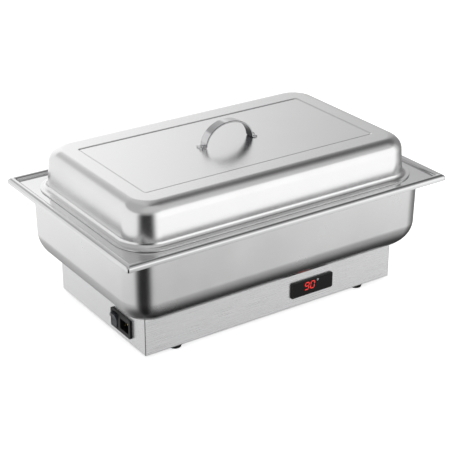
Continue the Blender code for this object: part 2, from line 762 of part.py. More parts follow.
def control_board():
    size = (BOARD_LENGTH, BOARD_DEPTH, BOARD_THICKNESS)
    middle = (BOARD_X, BOARD_Y, (BOARD_BOTTOM + BOARD_TOP) / 2)
    board = block("control_board", middle, size, BOARD_GREEN)
    neck_low = PLATE_BOTTOM - BASE_BOTTOM - BASE_SHEET
    post = [
        (0, BOARD_TOP + SEAT_GAP + 0.0015),
        (POST_HEAD, BOARD_TOP + SEAT_GAP + 0.0008),
        (POST_HEAD, BOARD_TOP + SEAT_GAP),
        (POST_NECK, BOARD_TOP + SEAT_GAP),
        (POST_NECK, BOARD_BOTTOM - SEAT_GAP),
        (POST_RADIUS, BOARD_BOTTOM - SEAT_GAP),
        (POST_RADIUS, PLATE_TOP + SEAT_GAP),
        (POST_NECK, PLATE_TOP + SEAT_GAP),
        (POST_NECK, PLATE_BOTTOM + neck_low),
        (0, PLATE_BOTTOM + neck_low),
    ]
    for index in range(4):
        x, y = post_place(index)
        turned(f"board_post_{index + 1}", post, NYLON, (x, y, 0), steps=12)
        bore = POST_NECK + SCREW_CLEARANCE
        cut_round(board, f"board_hole_{index + 1}", (x, y, BOARD_TOP), bore, 4 * BOARD_THICKNESS)
    block_size = (BLOCK_WIDTH, BLOCK_DEPTH, BLOCK_HEIGHT)
    left = BOARD_LEFT + BLOCK_WIDTH / 2
    right = BOARD_RIGHT - BLOCK_WIDTH / 2
    on_board("mains_terminal_block", left, BOARD_Y, block_size, BLACK_PLASTIC)
    on_board("heater_terminal_block", right, BOARD_Y, block_size, BLACK_PLASTIC)
    relay_x = right - BLOCK_WIDTH / 2 - SEAT_GAP - 0.004 - RELAY_SIZE[0] / 2
    on_board("relay", relay_x, BOARD_Y, RELAY_SIZE, BLACK_PLASTIC)
    core_x = left + BLOCK_WIDTH / 2 + 0.006 + TRANSFORMER_SIZE[0] / 2
    on_board("transformer", core_x, BOARD_Y, TRANSFORMER_SIZE, ZINC_STEEL)


def wire(name, points, colour):
    curve_piece(name, smooth_route(points), WIRE_COLOURS[colour], WIRE_RADIUS)


def wires():
    """Leads from the inlet's tabs and the element's cold ends to the control board."""
    tab_x = WALL_LEFT + INLET_BODY_DEPTH + PIN_TAB + 2 * SEAT_GAP
    socket_y = INLET_Y + SOCKET_OFFSET
    low_z = INLET_Z - PIN_RISE
    landing_x = BOARD_LEFT - 2 * SEAT_GAP
    for colour, side, landing_y in (("line", -1, -0.009), ("neutral", 1, 0.009)):
        y = socket_y + side * PIN_SPREAD
        end = Vector((landing_x, BOARD_Y + landing_y, BLOCK_TERMINAL_Z))
        points = [
            (tab_x, y, low_z),
            (tab_x + 0.012, y + 0.001, low_z - 0.001),
            (tab_x + 0.050, (y * 2 + end.y) / 3, low_z - 0.009),
            (end.x - 0.060, (y + 3 * end.y) / 4, PLATE_TOP + 0.007),
            (end.x - 0.012, end.y, end.z - 0.002),
            end,
        ]
        wire(f"{colour}_wire", points, colour)
    nut_face = WALL_LEFT + BASE_SHEET + SEAT_GAP + NUT_HEIGHT
    high_z = INLET_Z + PIN_RISE
    earth = [
        (tab_x, socket_y, high_z),
        (tab_x + 0.006, socket_y + 0.003, high_z + 0.0005),
        (tab_x + 0.008, INLET_Y + 0.005, high_z),
        (tab_x + 0.006, INLET_Y + 0.022, high_z - 0.001),
        (tab_x - 0.002, INLET_Y + 0.033, high_z - 0.003),
        (nut_face + 0.012, EARTH_SCREW_Y - 0.001, EARTH_SCREW_Z + 0.001),
        (nut_face + 0.0022, EARTH_SCREW_Y, EARTH_SCREW_Z),
    ]
    wire("earth_wire", earth, "earth")
    tail_z = ELEMENT_Z - ELEMENT_TAIL_DROP - 2 * SEAT_GAP
    for end, side, landing_y in (("front", -1, -0.008), ("back", 1, 0.008)):
        y = side * 1.5 * ELEMENT_PITCH
        landing = Vector((BOARD_RIGHT + 2 * SEAT_GAP, BOARD_Y + landing_y, BLOCK_TERMINAL_Z))
        points = [
            (ELEMENT_TAIL_X, y, tail_z),
            (ELEMENT_TAIL_X, y, tail_z - 0.006),
            (ELEMENT_TAIL_X - 0.008, y * 0.95, PLATE_TOP + 0.009),
            (ELEMENT_TAIL_X - 0.050, (2 * y + landing.y) / 3, PLATE_TOP + 0.006),
            (landing.x + 0.030, (y + 4 * landing.y) / 5, PLATE_TOP + 0.008),
            (landing.x + 0.010, landing.y, landing.z - 0.001),
            landing,
        ]
        wire(f"heater_wire_{end}", points, "heater")


# ---------------------------------------------------------------- display


def display():
    """Bezel through the front wall, smoked window in its face, digits and board behind."""
    flange_front = WALL_FRONT - SEAT_GAP - DISPLAY_PROUD
    flange_back = WALL_FRONT - SEAT_GAP
    body_back = flange_back + DISPLAY_DEPTH
    bezel = block(
        "display_bezel",
        (DISPLAY_X, (flange_front + flange_back) / 2, DISPLAY_Z),
        (DISPLAY_WIDTH, DISPLAY_PROUD, DISPLAY_HEIGHT),
        BLACK_PLASTIC,
    )
    corners = bevel(bezel, DISPLAY_CORNER, 3)
    corners.modifiers[0].limit_method = "WEIGHT"
    weights = bezel.data.attributes.new("bevel_weight_edge", "FLOAT", "EDGE")
    for edge in bezel.data.edges:
        first, second = (bezel.data.vertices[index].co for index in edge.vertices)
        along_y = abs(first.y - second.y) > DISPLAY_PROUD / 2
        weights.data[edge.index].value = 1.0 if along_y else 0.0
    shoulder = 2 * DISPLAY_SHOULDER
    body = block(
        "bezel_body",
        (DISPLAY_X, (flange_front + DISPLAY_PROUD / 2 + body_back) / 2, DISPLAY_Z),
        (
            DISPLAY_WIDTH - shoulder,
            body_back - flange_front - DISPLAY_PROUD / 2,
            DISPLAY_HEIGHT - shoulder,
        ),
        None,
        CUTTERS,
    )
    boolean(bezel, body, "UNION")
    window = (DISPLAY_WIDTH - 2 * DISPLAY_FRAME, DISPLAY_HEIGHT - 2 * DISPLAY_FRAME)
    recess_depth = WINDOW_THICKNESS + SEAT_GAP
    cut_box(
        bezel,
        "window_recess",
        (DISPLAY_X, flange_front, DISPLAY_Z),
        (window[0] + 2 * SEAT_GAP, 2 * recess_depth, window[1] + 2 * SEAT_GAP),
    )
    light = (window[0] - 2 * WINDOW_LEDGE, window[1] - 2 * WINDOW_LEDGE)
    depth = 4 * (body_back - flange_front)
    cut_box(bezel, "light_opening", (DISPLAY_X, WALL_FRONT, DISPLAY_Z), (light[0], depth, light[1]))
    block(
        "display_window",
        (DISPLAY_X, flange_front + WINDOW_THICKNESS / 2, DISPLAY_Z),
        (window[0], WINDOW_THICKNESS, window[1]),
        SMOKED_WINDOW,
    )
    module_front = flange_front + recess_depth + SEAT_GAP
    module_size = (
        light[0] - 2 * DIGIT_CLEARANCE,
        body_back - module_front,
        light[1] - 2 * DIGIT_CLEARANCE,
    )
    module_middle = (DISPLAY_X, (module_front + body_back) / 2, DISPLAY_Z)
    block("digit_module", module_middle, module_size, BLACK_PLASTIC)
    board_front = body_back + SEAT_GAP
    board_size = (DISPLAY_WIDTH - DISPLAY_SHOULDER, BOARD_THICKNESS, DISPLAY_HEIGHT - DISPLAY_SHOULDER)
    middle = (DISPLAY_X, board_front + BOARD_THICKNESS / 2, DISPLAY_Z)
    block("display_board", middle, board_size, BOARD_GREEN)

    back = board_front + BOARD_THICKNESS + SEAT_GAP
    landing = BOARD_FRONT - SEAT_GAP
    level = (BOARD_BOTTOM + BOARD_TOP) / 2
    route = smooth_route(
        [
            (back, DISPLAY_Z - 0.004, 0),
            (back + 0.006, DISPLAY_Z - 0.006, 0),
            (back + 0.014, level + 0.004, 0),
            (back + 0.026, level - 0.001, 0),
            ((back + landing) / 2 + 0.010, level - 0.001, 0),
            (landing, level, 0),
        ],
        3,
    )
    outline = ribbon_outline([(point.x, point.y) for point in route], RIBBON_THICKNESS)
    ribbon_x = BOARD_RIGHT - BOARD_HOLE_INSET - POST_RADIUS - RIBBON_WIDTH
    stand_up = (math.pi / 2, 0, math.pi / 2)
    place_at = (ribbon_x, 0, 0)
    flat_outline("display_ribbon", outline, RIBBON_WIDTH, WIRE_COLOURS["heater"], place_at, stand_up)


# ---------------------------------------------------------------- inlet and switch


def inlet():
    """Moulded unit in the end wall, with a socket, three contact pins and a rocker."""
    face = WALL_LEFT - SEAT_GAP - INLET_PROUD
    flange_back = WALL_LEFT - SEAT_GAP
    body_back = WALL_LEFT + INLET_BODY_DEPTH
    unit = block(
        "inlet_unit",
        ((face + flange_back) / 2, INLET_Y, INLET_Z),
        (INLET_PROUD, INLET_WIDTH, INLET_HEIGHT),
        BLACK_PLASTIC,
    )
    corners = bevel(unit, INLET_CORNER, 3)
    corners.modifiers[0].limit_method = "WEIGHT"
    weights = unit.data.attributes.new("bevel_weight_edge", "FLOAT", "EDGE")
    for edge in unit.data.edges:
        first, second = (unit.data.vertices[index].co for index in edge.vertices)
        along_x = abs(first.x - second.x) > INLET_PROUD / 2
        weights.data[edge.index].value = 1.0 if along_x else 0.0
    body = block(
        "inlet_body",
        ((face + INLET_PROUD / 2 + body_back) / 2, INLET_Y, INLET_Z),
        (
            body_back - face - INLET_PROUD / 2,
            INLET_WIDTH - 2 * INLET_FLANGE,
            INLET_HEIGHT - 2 * INLET_FLANGE,
        ),
        None,
        CUTTERS,
    )
    boolean(unit, body, "UNION")
    socket_y = INLET_Y + SOCKET_OFFSET
    cut_box(
        unit,
        "socket",
        (face, socket_y, INLET_Z),
        (2 * SOCKET_DEPTH, SOCKET_WIDTH, SOCKET_HEIGHT),
    )
    pins = {
        "line": (-PIN_SPREAD, -PIN_RISE),
        "neutral": (PIN_SPREAD, -PIN_RISE),
        "earth": (0, PIN_RISE),
    }
    floor = face + SOCKET_DEPTH
    tip = floor - PIN_REACH
    tail = body_back + PIN_TAB
    for name, (offset_y, offset_z) in pins.items():
        middle = ((tip + tail) / 2, socket_y + offset_y, INLET_Z + offset_z)
        block(f"inlet_pin_{name}", middle, (tail - tip, PIN_THICKNESS, PIN_WIDTH), BRASS)
        slot = (PIN_THICKNESS + 2 * SEAT_GAP, PIN_WIDTH + 2 * SEAT_GAP)
        cut_box(unit, f"pin_slot_{name}", middle, (2 * (tail - tip), *slot))

    rocker_y = INLET_Y + ROCKER_OFFSET
    pivot_x = face + ROCKER_PIVOT_DEPTH
    well_depth = ROCKER_PIVOT_DEPTH + ROCKER_BACK + ROCKER_LENGTH * math.sin(ROCKER_TILT)
    reach = math.hypot(ROCKER_LENGTH / 2, ROCKER_CROWN + ROCKER_PIVOT_DEPTH)
    well = (
        2 * well_depth,
        ROCKER_WIDTH + 2 * ROCKER_CLEARANCE,
        2 * (reach + ROCKER_CLEARANCE),
    )
    cut_box(unit, "rocker_well", (face, rocker_y, INLET_Z), well)
    pivot_length = ROCKER_WIDTH + 2 * ROCKER_CLEARANCE + 2 * ROCKER_PIVOT_RADIUS
    flat = (math.pi / 2, 0, 0)
    cut_round(
        unit,
        "pivot_holes",
        (pivot_x, rocker_y, INLET_Z),
        ROCKER_PIVOT_RADIUS + SEAT_GAP,
        pivot_length + 2 * SEAT_GAP,
        flat,
    )

    axis = bpy.data.objects.new("rocker_axis", None)
    PARTS.objects.link(axis)
    axis.location = (pivot_x, rocker_y, INLET_Z)
    axis.rotation_euler = (0, -ROCKER_TILT, 0)
    raised = -(ROCKER_CROWN + ROCKER_PIVOT_DEPTH)
    waist = -(ROCKER_WAIST + ROCKER_PIVOT_DEPTH)
    half = ROCKER_LENGTH / 2
    outline = [(raised, -half), (waist * 1.12, -half * 0.4), (waist, 0)]
    outline += [(waist * 1.12, half * 0.4), (raised, half), (0, half)]
    outline += [(ROCKER_BACK, half * 0.45), (ROCKER_BACK, -half * 0.45), (0, -half)]
    rocker = flat_outline("power_rocker", outline, ROCKER_WIDTH, BLACK_PLASTIC, (0, 0, 0), flat)
    rocker = as_mesh(rocker)
    pivot = cylinder_cutter("rocker_pivot", (0, 0, 0), ROCKER_PIVOT_RADIUS, pivot_length, flat)
    boolean(rocker, pivot, "UNION")
    for piece in (rocker, pivot):
        piece.parent = axis

    wall = (WALL_LEFT - SEAT_GAP, EARTH_SCREW_Y, EARTH_SCREW_Z)
    outward = (0, -math.pi / 2, 0)
    shank = BASE_SHEET + 2 * SEAT_GAP + NUT_HEIGHT + 0.001
    head = (EARTH_HEAD_RADIUS, EARTH_HEAD)
    screw("earth_screw", wall, outward, shank, EARTH_SCREW_RADIUS, head)
    inside = (WALL_LEFT + BASE_SHEET + SEAT_GAP, EARTH_SCREW_Y, EARTH_SCREW_Z)
    bore = (EARTH_SCREW_RADIUS + SEAT_GAP) / math.cos(math.pi / 6)
    nut("earth_nut", inside, (0, math.pi / 2, 0), bore * 1.8, bore)


# ---------------------------------------------------------------- basin, rim, food pan, lid


def water_basin():
    under = BASIN_TOP - BASIN_SHEET
    profile = [(-BASIN_FLANGE, under)]
    for angle in quarter_arc(3):
        inset = -BASIN_SHOULDER * (1 - math.sin(angle))
        profile.append((inset, under - BASIN_SHOULDER * (1 - math.cos(angle))))
    for angle in quarter_arc(8):
        inset = BASIN_LEAN + BASIN_FLOOR_INSET * (1 - math.cos(angle))
        profile.append((inset, BASIN_BOTTOM + BASIN_FLOOR_RISE * (1 - math.sin(angle))))
    rings = []
    for inset, height in profile:
        corner = BASIN_CORNER - (inset if inset < 0 else 0.4 * inset)
        size = (BASIN_LENGTH - 2 * inset, BASIN_DEPTH - 2 * inset)
        rings.append(ring_points(*size, corner, height))
    pressed_shell("water_basin", rings, BASIN_SHEET, SATIN_STEEL, closed_last=True)


def rim_shell(name, profile):
    """A pressed frame whose profile gives each ring's inset from the edge, its height and its corner."""
    rings = []
    for inset, height, corner in profile:
        size = (RIM_LENGTH - 2 * inset, RIM_DEPTH - 2 * inset)
        rings.append(ring_points(*size, corner, height))
    pressed_shell(name, rings, RIM_SHEET, SATIN_STEEL)


def rim_frame():
    """The raised bead round the edge, and inside it the flat ledge that carries the food pan."""
    half = RIM_BEAD_WIDTH / 2
    foot_corner = 0.4 * RIM_CORNER
    bead = [(RIM_BEAD_WIDTH, RING_TOP - RIM_SHEET, foot_corner)]
    for step in range(9):
        angle = math.pi * step / 8
        inset = half * (1 + math.cos(angle))
        corner = RIM_CORNER - (RIM_CORNER - foot_corner) * inset / RIM_BEAD_WIDTH
        bead.append((inset, RING_TOP + RIM_BEAD_RISE * math.sin(angle), corner))
    bead.append((0, RING_TOP - RIM_SKIRT, RIM_CORNER))
    rim_shell("rim_frame", bead)
    opening_corner = FOOD_WELL_CORNER + RIM_OPENING_CLEARANCE
    ledge = [
        (RIM_OPENING_INSET, RING_TOP - RIM_LIP, opening_corner),
        (RIM_OPENING_INSET, RING_TOP - RIM_SHEET, opening_corner),
        (RIM_OPENING_INSET - RIM_SHEET, RING_TOP, opening_corner + RIM_SHEET),
        (RIM_BEAD_WIDTH + SEAT_GAP, RING_TOP, foot_corner),
    ]
    rim_shell("rim_ledge", ledge)


def food_pan():
    under = FOOD_FLANGE_UNDER
    profile = [(0, under, FOOD_CORNER)]
    for angle in quarter_arc(3):
        inset = FOOD_LEDGE - FOOD_SHOULDER * (1 - math.sin(angle))
        height = under - FOOD_SHOULDER * (1 - math.cos(angle))
        profile.append((inset, height, FOOD_WELL_CORNER))
    floor = under + FOOD_SHEET - FOOD_DEPTH
    for angle in quarter_arc(5):
        inset = FOOD_LEDGE + FOOD_LEAN + FOOD_FILLET * (1 - math.cos(angle))
        height = floor + FOOD_FILLET * (1 - math.sin(angle))
        corner = FOOD_WELL_CORNER - FOOD_LEAN - 0.6 * FOOD_FILLET * (1 - math.cos(angle))
        profile.append((inset, height, corner))
    rings = []
    for inset, height, corner in profile:
        size = (FOOD_LENGTH - 2 * inset, FOOD_WIDTH - 2 * inset)
        rings.append(ring_points(*size, corner, height))
    pressed_shell("food_pan", rings, FOOD_SHEET, SATIN_STEEL, closed_last=True)


def lid_shell():
    rings = []
    for grow, height in ((0, LID_PANEL_TOP), (LID_PANEL_SLOPE, LID_TOP)):
        size = (LID_PANEL_LENGTH + 2 * grow, LID_PANEL_WIDTH + 2 * grow)
        rings.append(ring_points(*size, LID_PANEL_CORNER + grow, height))
    wall_bottom = LID_FLANGE + LID_COVE
    wall_top = wall_bottom + LID_LEAN
    profile = []
    for angle in quarter_arc(7):
        inset = wall_top + LID_FILLET * (1 - math.sin(angle))
        profile.append((inset, LID_TOP - LID_FILLET * (1 - math.cos(angle))))
    for angle in quarter_arc(4):
        inset = LID_FLANGE + LID_COVE * math.cos(angle)
        profile.append((inset, LID_FLANGE_TOP + LID_COVE * (1 - math.sin(angle))))
    profile.append((0, LID_FLANGE_TOP))
    for inset, height in profile:
        size = (LID_LENGTH - 2 * inset, LID_WIDTH - 2 * inset)
        rings.append(ring_points(*size, LID_CORNER - inset, height))
    lid = pressed_shell("lid_shell", rings, LID_SHEET, SATIN_STEEL, closed_first=True)
    for side, x in rivet_places():
        bore = RIVET_RADIUS + SEAT_GAP
        cut_round(lid, f"lid_hole_{side}", (x, 0, LID_PANEL_TOP), bore, 8 * LID_SHEET)


def rivet_places():
    reach = (HANDLE_SPAN + HANDLE_TAB + HANDLE_THICKNESS) / 2
    return (("left", -reach), ("right", reach))


def lid_handle():
    """An arched band with a foot turned out at either end, riveted to the lid."""
    half = HANDLE_SPAN / 2
    middle = HANDLE_THICKNESS / 2
    end = half + HANDLE_TAB
    centreline = [(-end, middle)]
    for step in range(25):
        angle = math.pi * step / 24
        centreline.append((-half * math.cos(angle), middle + HANDLE_RISE * math.sin(angle)))
    centreline.append((end, middle))
    outline = ribbon_outline(centreline, HANDLE_THICKNESS)
    seat = LID_PANEL_TOP + SEAT_GAP
    stand_up = (math.pi / 2, 0, 0)
    handle = flat_outline("lid_handle", outline, HANDLE_WIDTH, POLISHED_STEEL, (0, 0, seat), stand_up)
    handle = as_mesh(handle)
    tab_top = seat + HANDLE_THICKNESS
    under = LID_PANEL_TOP - LID_SHEET - SEAT_GAP
    profile = [(0, tab_top + SEAT_GAP + RIVET_HEAD)]
    profile += [
        (
            RIVET_HEAD_RADIUS * math.sin(angle),
            tab_top + SEAT_GAP + RIVET_HEAD * math.cos(angle),
        )
        for angle in quarter_arc(4)[1:]
    ]
    profile += [
        (RIVET_RADIUS, tab_top + SEAT_GAP),
        (RIVET_RADIUS, under),
        (RIVET_TAIL_RADIUS, under),
        (RIVET_TAIL_RADIUS, under - RIVET_TAIL),
        (0, under - RIVET_TAIL),
    ]
    for side, x in rivet_places():
        bore = RIVET_RADIUS + SEAT_GAP
        cut_round(handle, f"tab_hole_{side}", (x, 0, tab_top), bore, 4 * HANDLE_THICKNESS)
        turned(f"handle_rivet_{side}", profile, POLISHED_STEEL, (x, 0, 0), steps=16)


housing_shell()
bottom_plate()
feet()
heater()
heat_shield()
control_board()
display()
inlet()
wires()
water_basin()
rim_frame()
food_pan()
lid_shell()
lid_handle()
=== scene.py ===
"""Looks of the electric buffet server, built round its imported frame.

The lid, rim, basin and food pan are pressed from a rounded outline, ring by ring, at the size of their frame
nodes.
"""

import json
import math

import bmesh
import bpy
from mathutils import Euler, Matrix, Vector


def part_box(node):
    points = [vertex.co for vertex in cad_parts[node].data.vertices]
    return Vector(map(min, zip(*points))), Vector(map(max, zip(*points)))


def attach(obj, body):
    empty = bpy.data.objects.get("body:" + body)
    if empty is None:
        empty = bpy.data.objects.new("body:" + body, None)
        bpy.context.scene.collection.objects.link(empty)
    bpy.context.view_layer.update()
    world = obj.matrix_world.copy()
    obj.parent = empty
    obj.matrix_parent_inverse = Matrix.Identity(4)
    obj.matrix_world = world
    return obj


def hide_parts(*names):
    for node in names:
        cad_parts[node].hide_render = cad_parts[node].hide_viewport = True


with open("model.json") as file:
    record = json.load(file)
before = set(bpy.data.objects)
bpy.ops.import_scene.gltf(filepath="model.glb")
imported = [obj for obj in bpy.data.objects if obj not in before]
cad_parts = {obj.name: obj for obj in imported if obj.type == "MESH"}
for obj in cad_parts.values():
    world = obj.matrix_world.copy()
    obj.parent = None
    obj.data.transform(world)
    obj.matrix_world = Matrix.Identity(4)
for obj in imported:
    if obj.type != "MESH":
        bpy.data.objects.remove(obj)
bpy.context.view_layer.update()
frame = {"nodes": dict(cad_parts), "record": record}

bl_info = {
    "name": "Electric buffet server",
    "version": (1, 0, 0),
    "blender": (4, 5, 0),
    "location": "3D View > Sidebar > Buffet server",
    "description": "Builds the finishes, pressed shells and studio of an electric buffet server",
    "category": "Add Mesh",
}

CORNER_SPANS = 20  # edges in one rounded corner of a pressed shell
MM = 0.001


def node_size(node):
    """Lowest corner, highest corner and size of a frame node."""
    low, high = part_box(node)
    return low, high, high - low


LID_LOW, LID_HIGH, LID_SIZE = node_size("lid_shell")
BASIN_LOW, BASIN_HIGH, BASIN_SIZE = node_size("water_basin")
RIM_LOW, RIM_HIGH, RIM_SIZE = node_size("rim_frame")
PAN_LOW, PAN_HIGH, PAN_SIZE = node_size("food_pan")
HANDLE_LOW, HANDLE_HIGH, HANDLE_SIZE = node_size("lid_handle")
WINDOW_LOW, WINDOW_HIGH, WINDOW_SIZE = node_size("display_window")
HOUSING_LOW, HOUSING_HIGH, HOUSING_SIZE = node_size("housing_shell")


# ---------------------------------------------------------------- settings


def length(name, description, default):
    return bpy.props.FloatProperty(
        name=name, description=description, default=default, min=0.0, subtype="DISTANCE", unit="LENGTH"
    )


def share(name, description, default):
    return bpy.props.FloatProperty(
        name=name, description=description, default=default, min=0.0, max=1.0, subtype="FACTOR"
    )


def colour(name, description, default):
    return bpy.props.FloatVectorProperty(
        name=name, description=description, default=default, min=0.0, max=1.0, size=3, subtype="COLOR"
    )


class ServerSizes(bpy.types.PropertyGroup):
    """Sheet, radii and steps of the pressed shells."""

    sheet: length("Sheet", "Thickness of the pressed sheet", 0.8 * MM)
    lid_corner: length("Lid corner", "Plan radius of the lid's flange", 56 * MM)
    lid_flange: length("Lid flange", "Flat width of the lid's flange", 3 * MM)
    lid_cove: length("Lid cove", "Radius between the lid's wall and its flange", 8 * MM)
    lid_lean: length("Lid lean", "How far the lid's wall leans in over its height", 2.5 * MM)
    lid_fillet: length("Lid fillet", "Radius of the lid's top edge", 22 * MM)
    panel_length: length("Panel length", "Length of the lid's pressed-in panel", 416 * MM)
    panel_width: length("Panel width", "Width of the lid's pressed-in panel", 198 * MM)
    panel_depth: length("Panel depth", "How deep the lid's panel is pressed in", 0.8 * MM)
    basin_corner: length("Basin corner", "Plan radius of the basin's wall", 40 * MM)
    basin_flange: length("Basin flange", "Width of the basin's flange under the rim", 9.5 * MM)
    basin_shoulder: length("Basin shoulder", "Radius between wall and flange", 4 * MM)
    basin_floor_inset: length("Basin floor inset", "Run of the basin's bottom radius", 42 * MM)
    basin_floor_rise: length("Basin floor rise", "Rise of the basin's bottom radius", 44 * MM)
    bead_width: length("Bead width", "Width of the rolled bead round the rim", 12.5 * MM)
    bead_rise: length("Bead rise", "Height of the bead above the ledge", 4.8 * MM)
    rim_corner: length("Rim corner", "Plan radius of the rim's outer corner", 4 * MM)
    pan_ledge: length("Pan ledge", "Width of the food pan's flange", 15 * MM)
    pan_corner: length("Pan corner", "Plan radius of the food pan's well", 40 * MM)
    band: length("Handle band", "Thickness of the handle's band", 2.5 * MM)
    handle_tab: length("Handle tab", "Length of a foot of the handle", 10 * MM)
    digit_height: length("Digit height", "Height of one lit figure", 12.0 * MM)
    digit_width: length("Digit width", "Width of one lit figure", 7.2 * MM)


class ServerFinishes(bpy.types.PropertyGroup):
    """Colours and gloss of the finishes."""

    lid_steel: colour("Lid steel", "Reflection colour of the lid", (0.86, 0.86, 0.86))
    basin_steel: colour("Basin steel", "Reflection colour of the basin", (0.84, 0.84, 0.84))
    rim_steel: colour("Rim steel", "Reflection colour of the rim", (0.76, 0.76, 0.765))
    housing_steel: colour("Housing steel", "Reflection colour of the housing", (0.87, 0.87, 0.875))
    handle_steel: colour("Handle steel", "Reflection colour of the handle", (0.66, 0.66, 0.67))
    lid_gloss: share("Lid roughness", "Roughness of the lid", 0.23)
    basin_gloss: share("Basin roughness", "Roughness of the basin", 0.25)
    rim_gloss: share("Rim roughness", "Roughness of the rim", 0.10)
    housing_gloss: share("Housing roughness", "Roughness of the housing", 0.30)
    figures: colour("Figures", "Colour of the lit figures", (0.95, 0.03, 0.02))


class StudioSettings(bpy.types.PropertyGroup):
    """Camera and light."""

    distance_x: bpy.props.FloatProperty(name="Camera X", description="Place along X", default=-1.0803)
    distance_y: bpy.props.FloatProperty(name="Camera Y", description="Place along Y", default=-1.6000)
    height: length("Camera height", "Height of the camera above the floor", 1.0160)
    heading: bpy.props.FloatProperty(
        name="Heading", description="Turn from +Y to +X", default=math.radians(33.93), subtype="ANGLE"
    )
    pitch: bpy.props.FloatProperty(
        name="Pitch", description="Tilt below the horizon", default=math.radians(25.15), subtype="ANGLE"
    )
    lens: bpy.props.FloatProperty(name="Lens", description="Focal length, 36 mm film", default=105.76)
    key_power: bpy.props.FloatProperty(name="Key light", description="Overhead softbox", default=16.0)
    fill_power: bpy.props.FloatProperty(name="Fill light", description="Front softbox", default=7.0)


def sizes():
    return bpy.context.scene.server_sizes


def finishes():
    return bpy.context.scene.server_finishes


# ---------------------------------------------------------------- finishes


class Finish:
    """A Principled material whose colour, roughness and relief come from nodes on Object coordinates."""

    def __init__(self, name, base, roughness, metallic=0.0):
        self.material = bpy.data.materials.new(name)
        self.material.use_nodes = True
        self.tree = self.material.node_tree
        self.shader = self.tree.nodes["Principled BSDF"]
        self.shader.inputs["Metallic"].default_value = metallic
        self.shader.inputs["Base Color"].default_value = (*base, 1.0)
        self.shader.inputs["Roughness"].default_value = roughness
        self.base = base
        self.roughness = roughness
        self.place = self.add("ShaderNodeTexCoord")
        self.relief = None

    def add(self, kind, **settings):
        node = self.tree.nodes.new(kind)
        for key, value in settings.items():
            setattr(node, key, value)
        return node

    def link(self, source, target):
        self.tree.links.new(source, target)

    def noise(self, scale, detail=3.0, stretch=(1, 1, 1), turn=(0, 0, 0)):
        """A noise pattern, drawn out along the axes where stretch is below one."""
        mapping = self.add("ShaderNodeMapping")
        mapping.inputs["Scale"].default_value = stretch
        mapping.inputs["Rotation"].default_value = turn
        self.link(self.place.outputs["Object"], mapping.inputs["Vector"])
        noise = self.add("ShaderNodeTexNoise")
        noise.inputs["Scale"].default_value = scale
        noise.inputs["Detail"].default_value = detail
        self.link(mapping.outputs["Vector"], noise.inputs["Vector"])
        return noise.outputs["Fac"]

    def spread(self, source, low, high, start=0.3, stop=0.7):
        """Maps a pattern's middle band to a range."""
        band = self.add("ShaderNodeMapRange")
        band.inputs["From Min"].default_value = start
        band.inputs["From Max"].default_value = stop
        band.inputs["To Min"].default_value = low
        band.inputs["To Max"].default_value = high
        self.link(source, band.inputs["Value"])
        return band.outputs["Result"]

    def vary_colour(self, source, change):
        """Lightens and darkens the base colour by a share of itself."""
        mix = self.add("ShaderNodeMix", data_type="RGBA")
        mix.inputs[6].default_value = (*[max(c * (1 - change), 0) for c in self.base], 1)
        mix.inputs[7].default_value = (*[min(c * (1 + change), 1) for c in self.base], 1)
        self.link(self.spread(source, 0, 1), mix.inputs[0])
        self.link(mix.outputs[2], self.shader.inputs["Base Color"])

    def vary_roughness(self, source, change):
        low, high = self.roughness * (1 - change), self.roughness * (1 + change)
        self.link(self.spread(source, low, high), self.shader.inputs["Roughness"])

    def bump(self, source, depth, strength=1.0):
        bump = self.add("ShaderNodeBump")
        bump.inputs["Distance"].default_value = depth
        bump.inputs["Strength"].default_value = strength
        self.link(source, bump.inputs["Height"])
        if self.relief:
            self.link(self.relief, bump.inputs["Normal"])
        self.relief = bump.outputs["Normal"]
        self.link(self.relief, self.shader.inputs["Normal"])


def satin_steel(name, base, roughness, waviness=0.0006):
    """Stainless sheet: fine grain, faint handling marks and a slow waviness of the pressing."""
    steel = Finish(name, base, roughness, 1.0)
    fine = steel.noise(900, 2.0)
    marks = steel.noise(14, 5.0)
    wave = steel.noise(5, 1.0)
    steel.vary_colour(marks, 0.03)
    steel.vary_roughness(marks, 0.12)
    steel.bump(wave, waviness, 0.25)
    steel.bump(fine, 0.00001, 0.5)
    return steel.material


def brushed_steel(name, base, roughness, along, metallic=1.0):
    """Sheet brushed along one axis."""
    stretch = [1.0, 1.0, 1.0]
    stretch["XYZ".index(along)] = 0.012
    steel = Finish(name, base, roughness, metallic)
    lines = steel.noise(1400, 3.0, stretch)
    patches = steel.noise(9, 4.0)
    steel.vary_colour(lines, 0.05)
    steel.vary_roughness(lines, 0.25)
    steel.bump(lines, 0.00002, 0.35)
    steel.bump(patches, 0.0003, 0.15)
    return steel.material


def polished_metal(name, base, roughness):
    metal = Finish(name, base, roughness, 1.0)
    smears = metal.noise(60, 4.0)
    metal.vary_roughness(smears, 0.45)
    metal.vary_colour(smears, 0.02)
    return metal.material


def plated_metal(name, base, roughness):
    """Zinc plate or cast metal with a mottled bloom."""
    metal = Finish(name, base, roughness, 1.0)
    bloom = metal.noise(120, 6.0)
    metal.vary_colour(bloom, 0.14)
    metal.vary_roughness(bloom, 0.25)
    metal.bump(bloom, 0.00004, 0.5)
    return metal.material


def moulded_plastic(name, base, roughness, grain=700, depth=0.00003):
    plastic = Finish(name, base, roughness)
    skin = plastic.noise(grain, 2.0)
    dust = plastic.noise(35, 5.0)
    plastic.vary_colour(dust, 0.18)
    plastic.vary_roughness(dust, 0.18)
    plastic.bump(skin, depth, 0.6)
    plastic.shader.inputs["Specular IOR Level"].default_value = 0.3
    return plastic.material


def fibre_mat(name, base):
    mat = Finish(name, base, 0.95)
    tufts = mat.noise(260, 6.0, (1, 1, 0.3))
    mat.vary_colour(tufts, 0.10)
    mat.bump(tufts, 0.0006, 0.9)
    return mat.material


